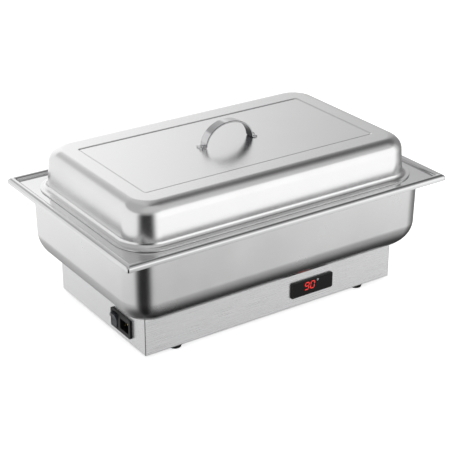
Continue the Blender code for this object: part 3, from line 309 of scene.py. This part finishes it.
def smoked_window(name):
    window = Finish(name, (0.004, 0.003, 0.003), 0.12)
    haze = window.noise(40, 4.0)
    window.vary_roughness(haze, 0.3)
    window.shader.inputs["Specular IOR Level"].default_value = 0.25
    return window.material


def lit_figures(name, base):
    """Light-emitting segments, a little uneven across their face."""
    lit = Finish(name, (0.25, 0.01, 0.01), 0.4)
    glow = lit.noise(900, 2.0)
    mix = lit.add("ShaderNodeMix", data_type="RGBA")
    mix.inputs[6].default_value = (*[c * 0.85 for c in base], 1)
    mix.inputs[7].default_value = (*base, 1)
    lit.link(lit.spread(glow, 0, 1), mix.inputs[0])
    lit.link(mix.outputs[2], lit.shader.inputs["Emission Color"])
    lit.shader.inputs["Emission Strength"].default_value = 1.0
    return lit.material


def slot_finishes():
    """One finish for each of the record's slots."""
    look = finishes()
    return {
        "lid_steel": satin_steel("lid_steel", look.lid_steel, look.lid_gloss),
        "basin_steel": satin_steel("basin_steel", look.basin_steel, look.basin_gloss),
        "rim_steel": satin_steel("rim_steel", look.rim_steel, look.rim_gloss, 0.00008),
        "food_pan_steel": satin_steel("food_pan_steel", look.basin_steel, look.basin_gloss),
        "housing_steel": brushed_steel("housing_steel", look.housing_steel, look.housing_gloss, "X", 0.75),
        "handle_steel": polished_metal("handle_steel", look.handle_steel, 0.07),
        "plated_steel": plated_metal("plated_steel", (0.55, 0.56, 0.57), 0.38),
        "heater_aluminium": brushed_steel("heater_aluminium", (0.62, 0.63, 0.64), 0.42, "Y"),
        "element_sheath": plated_metal("element_sheath", (0.20, 0.17, 0.15), 0.5),
        "foot_rubber": moulded_plastic("foot_rubber", (0.018, 0.018, 0.018), 0.75, 500, 0.0001),
        "bezel_black": moulded_plastic("bezel_black", (0.004, 0.004, 0.0045), 0.3, 900, 0.00001),
        "inlet_black": moulded_plastic("inlet_black", (0.009, 0.009, 0.010), 0.42, 900, 0.00005),
        "rocker_black": moulded_plastic("rocker_black", (0.035, 0.038, 0.045), 0.20, 900, 0.00001),
        "display_smoke": smoked_window("display_smoke"),
        "component_black": moulded_plastic("component_black", (0.03, 0.03, 0.03), 0.45),
        "post_nylon": moulded_plastic("post_nylon", (0.78, 0.77, 0.72), 0.45),
        "board_laminate": moulded_plastic("board_laminate", (0.03, 0.17, 0.07), 0.35, 200),
        "insulation_fibre": fibre_mat("insulation_fibre", (0.82, 0.80, 0.76)),
        "contact_brass": polished_metal("contact_brass", (0.75, 0.57, 0.28), 0.22),
        "wire_brown": moulded_plastic("wire_brown", (0.17, 0.07, 0.03), 0.45),
        "wire_blue": moulded_plastic("wire_blue", (0.03, 0.13, 0.45), 0.45),
        "wire_green": moulded_plastic("wire_green", (0.10, 0.38, 0.08), 0.45),
        "wire_grey": moulded_plastic("wire_grey", (0.50, 0.49, 0.46), 0.55),
    }


FINISHES = {}


def finish(slot):
    if not FINISHES:
        FINISHES.update(slot_finishes())
    return FINISHES[slot]


# ---------------------------------------------------------------- modelling


def deselect_all():
    if bpy.context.mode != "OBJECT":
        bpy.ops.object.mode_set(mode="OBJECT")
    bpy.ops.object.select_all(action="DESELECT")


def apply_modifiers(piece):
    deselect_all()
    bpy.context.view_layer.objects.active = piece
    piece.select_set(True)
    for modifier in list(piece.modifiers):
        bpy.ops.object.modifier_apply(modifier=modifier.name)


def smooth(piece, degrees=32):
    deselect_all()
    bpy.context.view_layer.objects.active = piece
    piece.select_set(True)
    bpy.ops.object.shade_smooth_by_angle(angle=math.radians(degrees))
    weighted = piece.modifiers.new("even_shading", "WEIGHTED_NORMAL")
    weighted.keep_sharp = True
    bpy.ops.object.modifier_apply(modifier=weighted.name)


def hand_over(piece, body, slot, *nodes, finish_slot=None):
    """Gives the piece its finish and its body, and hides the frame nodes that it stands for."""
    piece.data.materials.clear()
    piece.data.materials.append(finish(finish_slot or slot))
    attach(piece, body)
    if nodes:
        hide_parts(*nodes)


def move_ring(vertices, old, new):
    """Moves a ring of a rounded rectangle onto another. Both are (length, depth, corner, height)."""
    for vertex in vertices:
        side = Vector((math.copysign(1, vertex.co.x), math.copysign(1, vertex.co.y)))
        run = abs(vertex.co.x) - (old[0] / 2 - old[2])
        rise = abs(vertex.co.y) - (old[1] / 2 - old[2])
        angle = math.atan2(max(rise, 0), max(run, 0))
        vertex.co.x = side.x * (new[0] / 2 - new[2] + new[2] * math.cos(angle))
        vertex.co.y = side.y * (new[1] / 2 - new[2] + new[2] * math.sin(angle))
        vertex.co.z = new[3]


def press(name, rings, sheet, keep_middle=True, bevel_edge=0.0):
    """Presses a sheet from its outer ring inwards. The rings are its upper side."""
    deselect_all()
    bpy.ops.mesh.primitive_plane_add(size=1, location=(0, 0, 0))
    piece = bpy.context.active_object
    piece.name = piece.data.name = name
    first = rings[0]
    bpy.ops.object.mode_set(mode="EDIT")
    bpy.ops.mesh.select_all(action="SELECT")
    bpy.ops.transform.resize(value=(first[0], first[1], 1))
    bpy.ops.transform.translate(value=(0, 0, first[3]))
    bpy.ops.mesh.bevel(offset=first[2], segments=CORNER_SPANS, affect="VERTICES")
    bpy.ops.mesh.select_all(action="SELECT")
    for old, new in zip(rings, rings[1:]):
        bpy.ops.mesh.extrude_region_move()
        shape = bmesh.from_edit_mesh(piece.data)
        moved = [vertex for vertex in shape.verts if vertex.select]
        move_ring(moved, old, new)
        bmesh.update_edit_mesh(piece.data)
    shape = bmesh.from_edit_mesh(piece.data)
    # The first extrusion leaves the plane it started from, which would close the mouth.
    mouth = [face for face in shape.faces if len(face.verts) > 4 and not face.select]
    bmesh.ops.delete(shape, geom=mouth, context="FACES_ONLY")
    bmesh.update_edit_mesh(piece.data)
    if not keep_middle:
        bpy.ops.mesh.delete(type="ONLY_FACE")
    bpy.ops.object.mode_set(mode="OBJECT")
    wall = piece.modifiers.new("sheet", "SOLIDIFY")
    wall.thickness = sheet
    wall.offset = -1
    wall.use_even_offset = True
    if bevel_edge:
        edge = piece.modifiers.new("edge", "BEVEL")
        edge.width = bevel_edge
        edge.segments = 2
        edge.angle_limit = math.radians(60)
    apply_modifiers(piece)
    smooth(piece)
    return piece


def arc(steps, start=0.0, stop=math.pi / 2):
    return [start + (stop - start) * step / steps for step in range(steps + 1)]


def ring(size, inset, corner, height):
    return (size.x - 2 * inset, size.y - 2 * inset, max(corner, 0.0005), height)


# ---------------------------------------------------------------- pieces


class BUFFET_OT_lid(bpy.types.Operator):
    """Presses the lid: flange, cove, leaning wall, round top edge and pressed-in panel."""

    bl_idname = "buffet.lid"
    bl_label = "Lid"

    def execute(self, context):
        use = sizes()
        flange = LID_LOW.z + use.sheet
        top = LID_HIGH.z
        wall_foot = use.lid_flange + use.lid_cove
        wall_head = wall_foot + use.lid_lean
        hem = ((1.2, -1.85), (1.2, -0.7), (0.95, -0.2), (0.4, 0.0))
        rings = [
            ring(LID_SIZE, -out * MM, use.lid_corner + out * MM, flange + rise * MM)
            for out, rise in hem
        ]
        for angle in arc(10):
            inset = use.lid_flange + use.lid_cove * math.sin(angle)
            height = flange + use.lid_cove * (1 - math.cos(angle))
            rings.append(ring(LID_SIZE, inset, use.lid_corner - inset, height))
        for angle in arc(20):
            inset = wall_head + use.lid_fillet * (1 - math.cos(angle))
            height = top - use.lid_fillet * (1 - math.sin(angle))
            corner = use.lid_corner - wall_head - 0.75 * (inset - wall_head)
            rings.append(ring(LID_SIZE, inset, corner, height))
        panel = Vector((use.panel_length, use.panel_width))
        for grow, drop in ((3.4, 0), (2.9, 0.08), (1.6, 1.45), (1.2, 1.6), (-0.2, 1.05), (-0.8, 1.0)):
            corner = (2.5 + max(grow, 0)) * MM
            rings.append(ring(panel, -grow * MM, corner, top - drop * use.panel_depth))
        lid = press("pressed_lid", rings, use.sheet, bevel_edge=0.25 * MM)
        hand_over(lid, "lid", "lid_steel", "lid_shell")
        return {"FINISHED"}


class BUFFET_OT_handle(bpy.types.Operator):
    """Bends the handle's polished band over its arch and sets the rivets."""

    bl_idname = "buffet.handle"
    bl_label = "Handle and rivets"

    def execute(self, context):
        use = sizes()
        self.band(use)
        for side in ("left", "right"):
            self.rivet(side)
        return {"FINISHED"}

    def band(self, use):
        """A strip runs along the centre line, and Solidify and Bevel give it its section. Its rounded edges
        and the faces under the arch get a near-black steel as painted shade and painted dark reflection.
        """
        half = HANDLE_SIZE.x / 2 - use.handle_tab
        seat = LID_HIGH.z - use.panel_depth + 0.05 * MM
        rise = HANDLE_HIGH.z - seat - use.band
        foot_bend = 1.6 * MM
        path = [(-HANDLE_SIZE.x / 2, 0.0), (-half - 2.5 * foot_bend, 0.0), (-half - foot_bend, 0.0)]
        for angle in arc(48, 0.06, math.pi - 0.06):
            path.append((-half * math.cos(angle), rise * math.sin(angle)))
        path += [(-x, z) for x, z in reversed(path[:3])]
        deselect_all()
        bpy.ops.mesh.primitive_plane_add(size=1, location=(0, 0, 0))
        piece = bpy.context.active_object
        piece.name = piece.data.name = "polished_handle"
        bpy.ops.object.mode_set(mode="EDIT")
        shape = bmesh.from_edit_mesh(piece.data)
        bmesh.ops.delete(shape, geom=list(shape.faces), context="FACES")
        left = [shape.verts.new((x, HANDLE_LOW.y, z + seat)) for x, z in path]
        for first, second in zip(left, left[1:]):
            shape.edges.new((first, second)).select = True
        bmesh.update_edit_mesh(piece.data)
        bpy.ops.mesh.extrude_region_move(TRANSFORM_OT_translate={"value": (0, HANDLE_SIZE.y, 0)})
        bpy.ops.mesh.select_all(action="SELECT")
        bpy.ops.mesh.normals_make_consistent(inside=False)
        shape = bmesh.from_edit_mesh(piece.data)
        shape.faces.ensure_lookup_table()
        if max(shape.faces, key=lambda face: face.calc_center_median().z).normal.z < 0:
            bpy.ops.mesh.flip_normals()
        bpy.ops.object.mode_set(mode="OBJECT")
        wall = piece.modifiers.new("band", "SOLIDIFY")
        wall.thickness = use.band
        wall.offset = 1
        wall.use_even_offset = True
        edge = piece.modifiers.new("edge", "BEVEL")
        edge.width = 0.95 * MM
        edge.segments = 3
        edge.angle_limit = math.radians(50)
        apply_modifiers(piece)
        smooth(piece, 40)
        hand_over(piece, "lid", "handle_steel", "lid_handle")
        # Painted shade and painted reflection: the band's rounded edges and the faces turned in under the
        # arch get a near-black steel that stands in for shade and dark reflections.
        piece.data.materials.append(polished_metal("handle_edge_painted_shade", (0.055, 0.055, 0.06), 0.14))
        axis = Vector((0, 0, seat))
        for face in piece.data.polygons:
            inward = Vector((axis.x - face.center.x, 0, axis.z - face.center.z)).dot(face.normal) > 0.3 * half
            rounded = 0.15 < abs(face.normal.y) < 0.97
            face.material_index = int(rounded or inward)

    def rivet(self, side):
        low, high, size = node_size("handle_rivet_" + side)
        middle = (low + high) / 2
        seat = LID_HIGH.z - sizes().panel_depth + 0.05 * MM + sizes().band
        deselect_all()
        bpy.ops.mesh.primitive_uv_sphere_add(segments=32, ring_count=16, radius=size.x / 2, location=middle)
        piece = bpy.context.active_object
        piece.name = piece.data.name = "rivet_" + side
        bpy.ops.object.transform_apply(location=True)
        bpy.ops.object.mode_set(mode="EDIT")
        bpy.ops.mesh.select_all(action="SELECT")
        bpy.ops.mesh.bisect(plane_co=middle, plane_no=(0, 0, 1), clear_inner=True, use_fill=True)
        bpy.ops.mesh.select_all(action="SELECT")
        squash = (high.z - seat) / (size.x / 2)
        bpy.ops.transform.resize(value=(1, 1, squash), center_override=middle)
        bpy.ops.transform.translate(value=(0, 0, seat - middle.z))
        shape = bmesh.from_edit_mesh(piece.data)
        for face in shape.faces:
            face.select = face.normal.z < -0.9
        bmesh.update_edit_mesh(piece.data)
        bpy.ops.mesh.extrude_region_move(TRANSFORM_OT_translate={"value": (0, 0, -1.2 * MM)})
        bpy.ops.mesh.select_all(action="SELECT")
        bpy.ops.mesh.normals_make_consistent(inside=False)
        bpy.ops.object.mode_set(mode="OBJECT")
        smooth(piece)
        hand_over(piece, "lid", "handle_steel", "handle_rivet_" + side)


class BUFFET_OT_rim(bpy.types.Operator):
    """Rolls the rim frame: outer skirt, bead, mirror-like ledge and turned-down opening."""

    bl_idname = "buffet.rim"
    bl_label = "Rim frame"

    def execute(self, context):
        use = sizes()
        ledge = RIM_HIGH.z - use.bead_rise
        half = use.bead_width / 2
        rings = [ring(RIM_SIZE, 0, use.rim_corner, RIM_LOW.z)]
        for angle in arc(20, 0, math.pi):
            inset = half * (1 - math.cos(angle))
            corner = use.rim_corner * (1 - 0.55 * inset / use.bead_width)
            rings.append(ring(RIM_SIZE, inset, corner, ledge + use.bead_rise * math.sin(angle)))
        rings.append(ring(RIM_SIZE, use.bead_width + 1.0 * MM, 0.45 * use.rim_corner, ledge))
        opening = (RIM_SIZE.x - PAN_SIZE.x) / 2 + use.pan_ledge - 2.5 * MM
        corner = use.pan_corner + 2.5 * MM
        for grow, drop in ((3.0, 0.0), (1.0, 0.0), (0.3, 0.3), (0.0, 1.0), (0.0, 4.6)):
            rings.append(ring(RIM_SIZE, opening - grow * MM, corner + grow * MM, ledge - drop * MM))
        rim = press("rolled_rim", rings, use.sheet, keep_middle=False, bevel_edge=0.2 * MM)
        hand_over(rim, "water_basin", "rim_steel", "rim_frame", "rim_ledge")
        return {"FINISHED"}


def deep_pan(name, size, high, floor, ledge, corner, flange_corner, shoulder, lean, run, rise, pull):
    """A drawn pan: flange, shoulder, wall with a little lean, bottom radius and flat floor."""
    sheet = sizes().sheet
    rings = [ring(size, 0, flange_corner, high)]
    for angle in arc(6):
        inset = ledge - shoulder * (1 - math.sin(angle))
        height = high - shoulder * (1 - math.cos(angle))
        rings.append(ring(size, inset + sheet, corner + ledge - inset, height))
    for angle in arc(24):
        inset = ledge + lean + run * (1 - math.cos(angle))
        height = floor + sheet + rise * (1 - math.sin(angle))
        rings.append(ring(size, inset + sheet, corner - pull * (inset - ledge), height))
    last = rings[-1]
    rings.append((last[0] - 2 * MM, last[1] - 2 * MM, last[2] - 1 * MM, last[3]))
    return press(name, rings, sheet, bevel_edge=0.2 * MM)


class BUFFET_OT_basin(bpy.types.Operator):
    """Draws the water basin under the rim."""

    bl_idname = "buffet.basin"
    bl_label = "Water basin"

    def execute(self, context):
        use = sizes()
        basin = deep_pan(
            "drawn_basin", BASIN_SIZE, BASIN_HIGH.z, BASIN_LOW.z, use.basin_flange, use.basin_corner,
            use.basin_corner + use.basin_flange, use.basin_shoulder, 1.0 * MM,
            use.basin_floor_inset, use.basin_floor_rise, 0.4,
        )
        hand_over(basin, "water_basin", "basin_steel", "water_basin")
        return {"FINISHED"}


class BUFFET_OT_food_pan(bpy.types.Operator):
    """Draws the gastronorm food pan that stands under the lid."""

    bl_idname = "buffet.food_pan"
    bl_label = "Food pan"

    def execute(self, context):
        use = sizes()
        pan = deep_pan(
            "drawn_food_pan", PAN_SIZE, PAN_HIGH.z, PAN_LOW.z, use.pan_ledge, use.pan_corner,
            54 * MM, 3 * MM, 10 * MM, 14 * MM, 14 * MM, 0.8,
        )
        hand_over(pan, "food_pan", "food_pan_steel", "food_pan")
        return {"FINISHED"}


class BUFFET_OT_housing_seams(bpy.types.Operator):
    """Lays the dark shadow gap where two housing panels meet, on each upright corner."""

    bl_idname = "buffet.housing_seams"
    bl_label = "Housing seams"

    def execute(self, context):
        look = plated_metal("seam_shadow", (0.035, 0.035, 0.036), 0.6)
        wide = 2.4 * MM
        proud = -0.30 * MM
        for side in (-1, 1):
            for end in (-1, 1):
                deselect_all()
                middle = proud - wide / 2
                corner = Vector(
                    (side * (HOUSING_SIZE.x / 2 + middle), end * (HOUSING_SIZE.y / 2 + middle))
                )
                height = HOUSING_SIZE.z - 1.0 * MM
                bpy.ops.mesh.primitive_cube_add(
                    size=1, location=(*corner, HOUSING_LOW.z + HOUSING_SIZE.z / 2), scale=(wide, wide, height)
                )
                seam = bpy.context.active_object
                across = "right" if side > 0 else "left"
                along = "back" if end > 0 else "front"
                seam.name = seam.data.name = f"seam_{across}_{along}"
                bpy.ops.object.transform_apply(location=True, scale=True)
                edge = seam.modifiers.new("edge", "BEVEL")
                edge.width = 0.3 * MM
                edge.segments = 3
                apply_modifiers(seam)
                smooth(seam)
                seam.data.materials.append(look)
                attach(seam, "base")
        return {"FINISHED"}


SEGMENTS_LIT = {"9": "abcdfg", "0": "abcdef"}


class BUFFET_OT_display(bpy.types.Operator):
    """Lights the two seven-segment figures and sets a pale degree mark behind the window."""

    bl_idname = "buffet.display"
    bl_label = "Display figures"

    def execute(self, context):
        use = sizes()
        front = WINDOW_LOW.y - 0.05 * MM
        middle = (WINDOW_LOW + WINDOW_HIGH) / 2
        centre_z = middle.z + 1.8 * MM
        step = use.digit_width + 3.8 * MM
        bars = []
        for index, figure in enumerate("90"):
            x = middle.x - 10.0 * MM + index * step
            bars += [self.bar(use, x, front, centre_z, name) for name in SEGMENTS_LIT[figure]]
        deselect_all()
        for bar in bars:
            bar.select_set(True)
        bpy.context.view_layer.objects.active = bars[0]
        bpy.ops.object.join()
        piece = bpy.context.active_object
        piece.name = piece.data.name = "lit_figures"
        lit = lit_figures("lit_figures", finishes().figures)
        piece.data.materials.clear()
        piece.data.materials.append(lit)
        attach(piece, "base")
        self.degree_mark(middle.x + 11.0 * MM, front, centre_z + 0.5 * use.digit_height)
        return {"FINISHED"}

    def degree_mark(self, x, front, z):
        """A pale printed ring after the figures."""
        deselect_all()
        bpy.ops.mesh.primitive_torus_add(
            major_segments=32, minor_segments=8, location=(x, front, z), rotation=(math.pi / 2, 0, 0),
            major_radius=1.3 * MM, minor_radius=0.5 * MM,
        )
        mark = bpy.context.active_object
        mark.name = mark.data.name = "degree_mark"
        bpy.ops.object.transform_apply(location=True, rotation=True)
        bpy.ops.object.mode_set(mode="EDIT")
        bpy.ops.mesh.select_all(action="SELECT")
        bpy.ops.transform.resize(value=(1, 0.11, 1), center_override=(x, front, z))
        bpy.ops.object.mode_set(mode="OBJECT")
        smooth(mark)
        mark.data.materials.append(moulded_plastic("degree_mark", (0.62, 0.64, 0.66), 0.5))
        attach(mark, "base")

    def bar(self, use, x, front, z, name):
        """One segment: a thin hexagonal bar, leaning with the figure."""
        wide, tall, thick = use.digit_width, use.digit_height, 1.7 * MM
        places = {
            "a": (0, tall / 2, True),
            "g": (0, 0, True),
            "d": (0, -tall / 2, True),
            "b": (wide / 2, tall / 4, False),
            "c": (wide / 2, -tall / 4, False),
            "f": (-wide / 2, tall / 4, False),
            "e": (-wide / 2, -tall / 4, False),
        }
        along, up, lies = places[name]
        reach = (wide if lies else tall / 2) - 0.7 * MM
        size = (reach, 0.1 * MM, thick) if lies else (thick, 0.1 * MM, reach)
        deselect_all()
        bpy.ops.mesh.primitive_cube_add(size=1, location=(0, 0, 0))
        bar = bpy.context.active_object
        bpy.ops.object.mode_set(mode="EDIT")
        bpy.ops.mesh.select_all(action="SELECT")
        bpy.ops.transform.resize(value=size)
        shape = bmesh.from_edit_mesh(bar.data)
        for edge in shape.edges:
            edge.select = abs(edge.verts[0].co.y - edge.verts[1].co.y) > 0.05 * MM
        bmesh.update_edit_mesh(bar.data)
        bpy.ops.mesh.bevel(offset=0.49 * thick, segments=1, affect="EDGES")
        shape = bmesh.from_edit_mesh(bar.data)
        lean = math.tan(math.radians(7))
        for vertex in shape.verts:
            vertex.co += Vector((x + along, front, z + up))
            vertex.co.x += lean * (vertex.co.z - z)
        bmesh.update_edit_mesh(bar.data)
        bpy.ops.object.mode_set(mode="OBJECT")
        return bar


class BUFFET_OT_frame_finishes(bpy.types.Operator):
    """Gives every frame node the finish of its slot."""

    bl_idname = "buffet.frame_finishes"
    bl_label = "Finishes of the frame"

    def execute(self, context):
        slots = {part["node"]: part["material_slot"] for part in frame["record"]["subparts"]}
        for name, node in frame["nodes"].items():
            node.data.materials.clear()
            node.data.materials.append(finish(slots[name]))
        return {"FINISHED"}


# ---------------------------------------------------------------- studio


class BUFFET_OT_studio(bpy.types.Operator):
    """Pale floor, soft overhead and front light, a plain surround and the camera."""

    bl_idname = "buffet.studio"
    bl_label = "Studio"

    def execute(self, context):
        use = context.scene.studio
        context.scene.view_settings.view_transform = "Standard"
        self.floor()
        self.surround(use)
        self.softbox("overhead", (0.0, 0.0, 2.2), (0, 0, 0), 2.4, use.key_power)
        turn = (math.radians(62), 0, math.radians(-25))
        self.softbox("front", (-0.9, -1.9, 1.3), turn, 1.6, use.fill_power)
        self.camera(use)
        return {"FINISHED"}

    def floor(self):
        deselect_all()
        bpy.ops.mesh.primitive_plane_add(size=14, location=(0, 0, 0))
        floor = bpy.context.active_object
        floor.name = "studio_floor"
        floor.visible_glossy = False
        paper = bpy.data.materials.new("floor_paper")
        paper.use_nodes = True
        tree = paper.node_tree
        shader = tree.nodes["Principled BSDF"]
        shader.inputs["Base Color"].default_value = (0.92, 0.92, 0.92, 1)
        shader.inputs["Roughness"].default_value = 0.9
        shader.inputs["Specular IOR Level"].default_value = 0.0
        shader.inputs["Emission Color"].default_value = (1, 1, 1, 1)
        path = tree.nodes.new("ShaderNodeLightPath")
        lift = tree.nodes.new("ShaderNodeMath")
        lift.operation = "MULTIPLY"
        lift.inputs[1].default_value = 0.62
        tree.links.new(path.outputs["Is Camera Ray"], lift.inputs[0])
        tree.links.new(lift.outputs[0], shader.inputs["Emission Strength"])
        floor.data.materials.append(paper)

    def softbox(self, name, location, rotation, size, power):
        lamp = bpy.data.lights.new(name, "AREA")
        lamp.shape = "SQUARE"
        lamp.size = size
        lamp.energy = power
        box = bpy.data.objects.new(name, lamp)
        bpy.context.scene.collection.objects.link(box)
        box.location = location
        box.rotation_euler = rotation
        box.visible_glossy = False

    def surround(self, use):
        """White to the camera. Metal sees a soft room: bright in front, dimmer behind, dark by the camera."""
        world = bpy.data.worlds.new("studio_surround")
        bpy.context.scene.world = world
        world.use_nodes = True
        tree = world.node_tree
        tree.nodes.clear()

        def add(kind, **settings):
            node = tree.nodes.new(kind)
            for key, value in settings.items():
                setattr(node, key, value)
            return node

        def put(target, value):
            if isinstance(value, bpy.types.NodeSocket):
                tree.links.new(value, target)
            else:
                target.default_value = value

        def maths(operation, *values):
            node = add("ShaderNodeMath", operation=operation)
            for target, value in zip(node.inputs, values):
                put(target, value)
            return node.outputs[0]

        def ramp(value, low, high, to_low, to_high):
            node = add("ShaderNodeMapRange", interpolation_type="SMOOTHSTEP")
            for key, item in zip(("From Min", "From Max", "To Min", "To Max"), (low, high, to_low, to_high)):
                node.inputs[key].default_value = item
            tree.links.new(value, node.inputs["Value"])
            return node.outputs["Result"]

        def towards(heading):
            """Cosine between the horizontal direction and a heading from +Y to +X."""
            across = maths("MULTIPLY", parts.outputs["X"], math.sin(heading))
            ahead = maths("MULTIPLY", parts.outputs["Y"], math.cos(heading))
            return maths("DIVIDE", maths("ADD", across, ahead), flat)

        place = add("ShaderNodeTexCoord")
        parts = add("ShaderNodeSeparateXYZ")
        tree.links.new(place.outputs["Generated"], parts.inputs[0])
        square = maths(
            "ADD",
            maths("POWER", parts.outputs["X"], 2.0),
            maths("POWER", parts.outputs["Y"], 2.0),
        )
        flat = maths("SQRT", maths("ADD", square, 0.0001))
        up = parts.outputs["Z"]

        table = maths("MULTIPLY", ramp(up, -0.54, -0.32, 0.36, 1.16), ramp(up, -0.95, -0.60, 0.15, 1.0))
        ceiling = maths("MULTIPLY", ramp(up, 0.46, 0.54, 1.0, 0.50), ramp(up, -0.1, 0.3, 1.0, 0.98))
        far_right = towards(math.radians(75))
        back_right = maths(
            "MULTIPLY",
            ramp(far_right, 0.62, 0.90, 1.0, 0.45),
            ramp(far_right, 0.90, 0.98, 1.0, 0.5),
        )
        left_lift = maths("SUBTRACT", ramp(up, -0.46, -0.33, 1.38, 0.80), 1.0)
        left_share = ramp(towards(math.radians(-60)), 0.2, 0.8, 0.0, 1.0)
        left = maths("ADD", 1.0, maths("MULTIPLY", left_lift, left_share))
        outer, inner = math.cos(math.radians(42)), math.cos(math.radians(14))
        camera_side = ramp(towards(use.heading + math.pi), outer, inner, 0, 1)
        low_enough = ramp(up, 0.30, 0.80, 1.0, 0.0)
        dark = maths("MULTIPLY", camera_side, low_enough)
        open_share = maths("SUBTRACT", 1.0, maths("MULTIPLY", dark, 0.97))
        room = maths("MULTIPLY", table, ceiling)
        glossy = maths("MULTIPLY", maths("MULTIPLY", room, back_right), maths("MULTIPLY", left, open_share))

        path = add("ShaderNodeLightPath")
        plain = add("ShaderNodeMix", data_type="FLOAT")
        put(plain.inputs[0], path.outputs["Is Glossy Ray"])
        put(plain.inputs[2], 0.55)
        put(plain.inputs[3], glossy)
        seen = add("ShaderNodeMix", data_type="FLOAT")
        put(seen.inputs[0], path.outputs["Is Camera Ray"])
        put(seen.inputs[2], plain.outputs[0])
        put(seen.inputs[3], 1.0)
        background = add("ShaderNodeBackground")
        background.inputs["Color"].default_value = (1, 1, 1, 1)
        tree.links.new(seen.outputs[0], background.inputs["Strength"])
        output = add("ShaderNodeOutputWorld")
        tree.links.new(background.outputs[0], output.inputs["Surface"])

    def camera(self, use):
        lens = bpy.data.cameras.new("camera")
        lens.lens = use.lens
        lens.sensor_width = 36.0
        camera = bpy.data.objects.new("camera", lens)
        bpy.context.scene.collection.objects.link(camera)
        camera.location = (use.distance_x, use.distance_y, use.height)
        camera.rotation_euler = Euler((math.pi / 2 - use.pitch, 0, -use.heading))
        bpy.context.scene.camera = camera


# ---------------------------------------------------------------- add-on


OPERATORS = (
    BUFFET_OT_studio,
    BUFFET_OT_frame_finishes,
    BUFFET_OT_lid,
    BUFFET_OT_handle,
    BUFFET_OT_rim,
    BUFFET_OT_basin,
    BUFFET_OT_food_pan,
    BUFFET_OT_housing_seams,
    BUFFET_OT_display,
)
SETTINGS = {
    "server_sizes": ServerSizes,
    "server_finishes": ServerFinishes,
    "studio": StudioSettings,
}


class BUFFET_PT_panel(bpy.types.Panel):
    """Lists the server's pieces and settings."""

    bl_idname = "BUFFET_PT_panel"
    bl_label = "Buffet server"
    bl_space_type = "VIEW_3D"
    bl_region_type = "UI"
    bl_category = "Buffet server"

    def draw(self, context):
        for operator in OPERATORS:
            self.layout.operator(operator.bl_idname)
        for name, group in SETTINGS.items():
            box = self.layout.box()
            for key in group.__annotations__:
                box.prop(getattr(context.scene, name), key)


def register():
    for group in (*SETTINGS.values(), *OPERATORS, BUFFET_PT_panel):
        bpy.utils.register_class(group)
    for name, group in SETTINGS.items():
        setattr(bpy.types.Scene, name, bpy.props.PointerProperty(type=group))


def unregister():
    for name in SETTINGS:
        delattr(bpy.types.Scene, name)
    for group in reversed((*SETTINGS.values(), *OPERATORS, BUFFET_PT_panel)):
        bpy.utils.unregister_class(group)


def main():
    register()
    for operator in OPERATORS:
        group, name = operator.bl_idname.split(".")
        getattr(getattr(bpy.ops, group), name)()
    deselect_all()


if __name__ == "__main__":
    main()
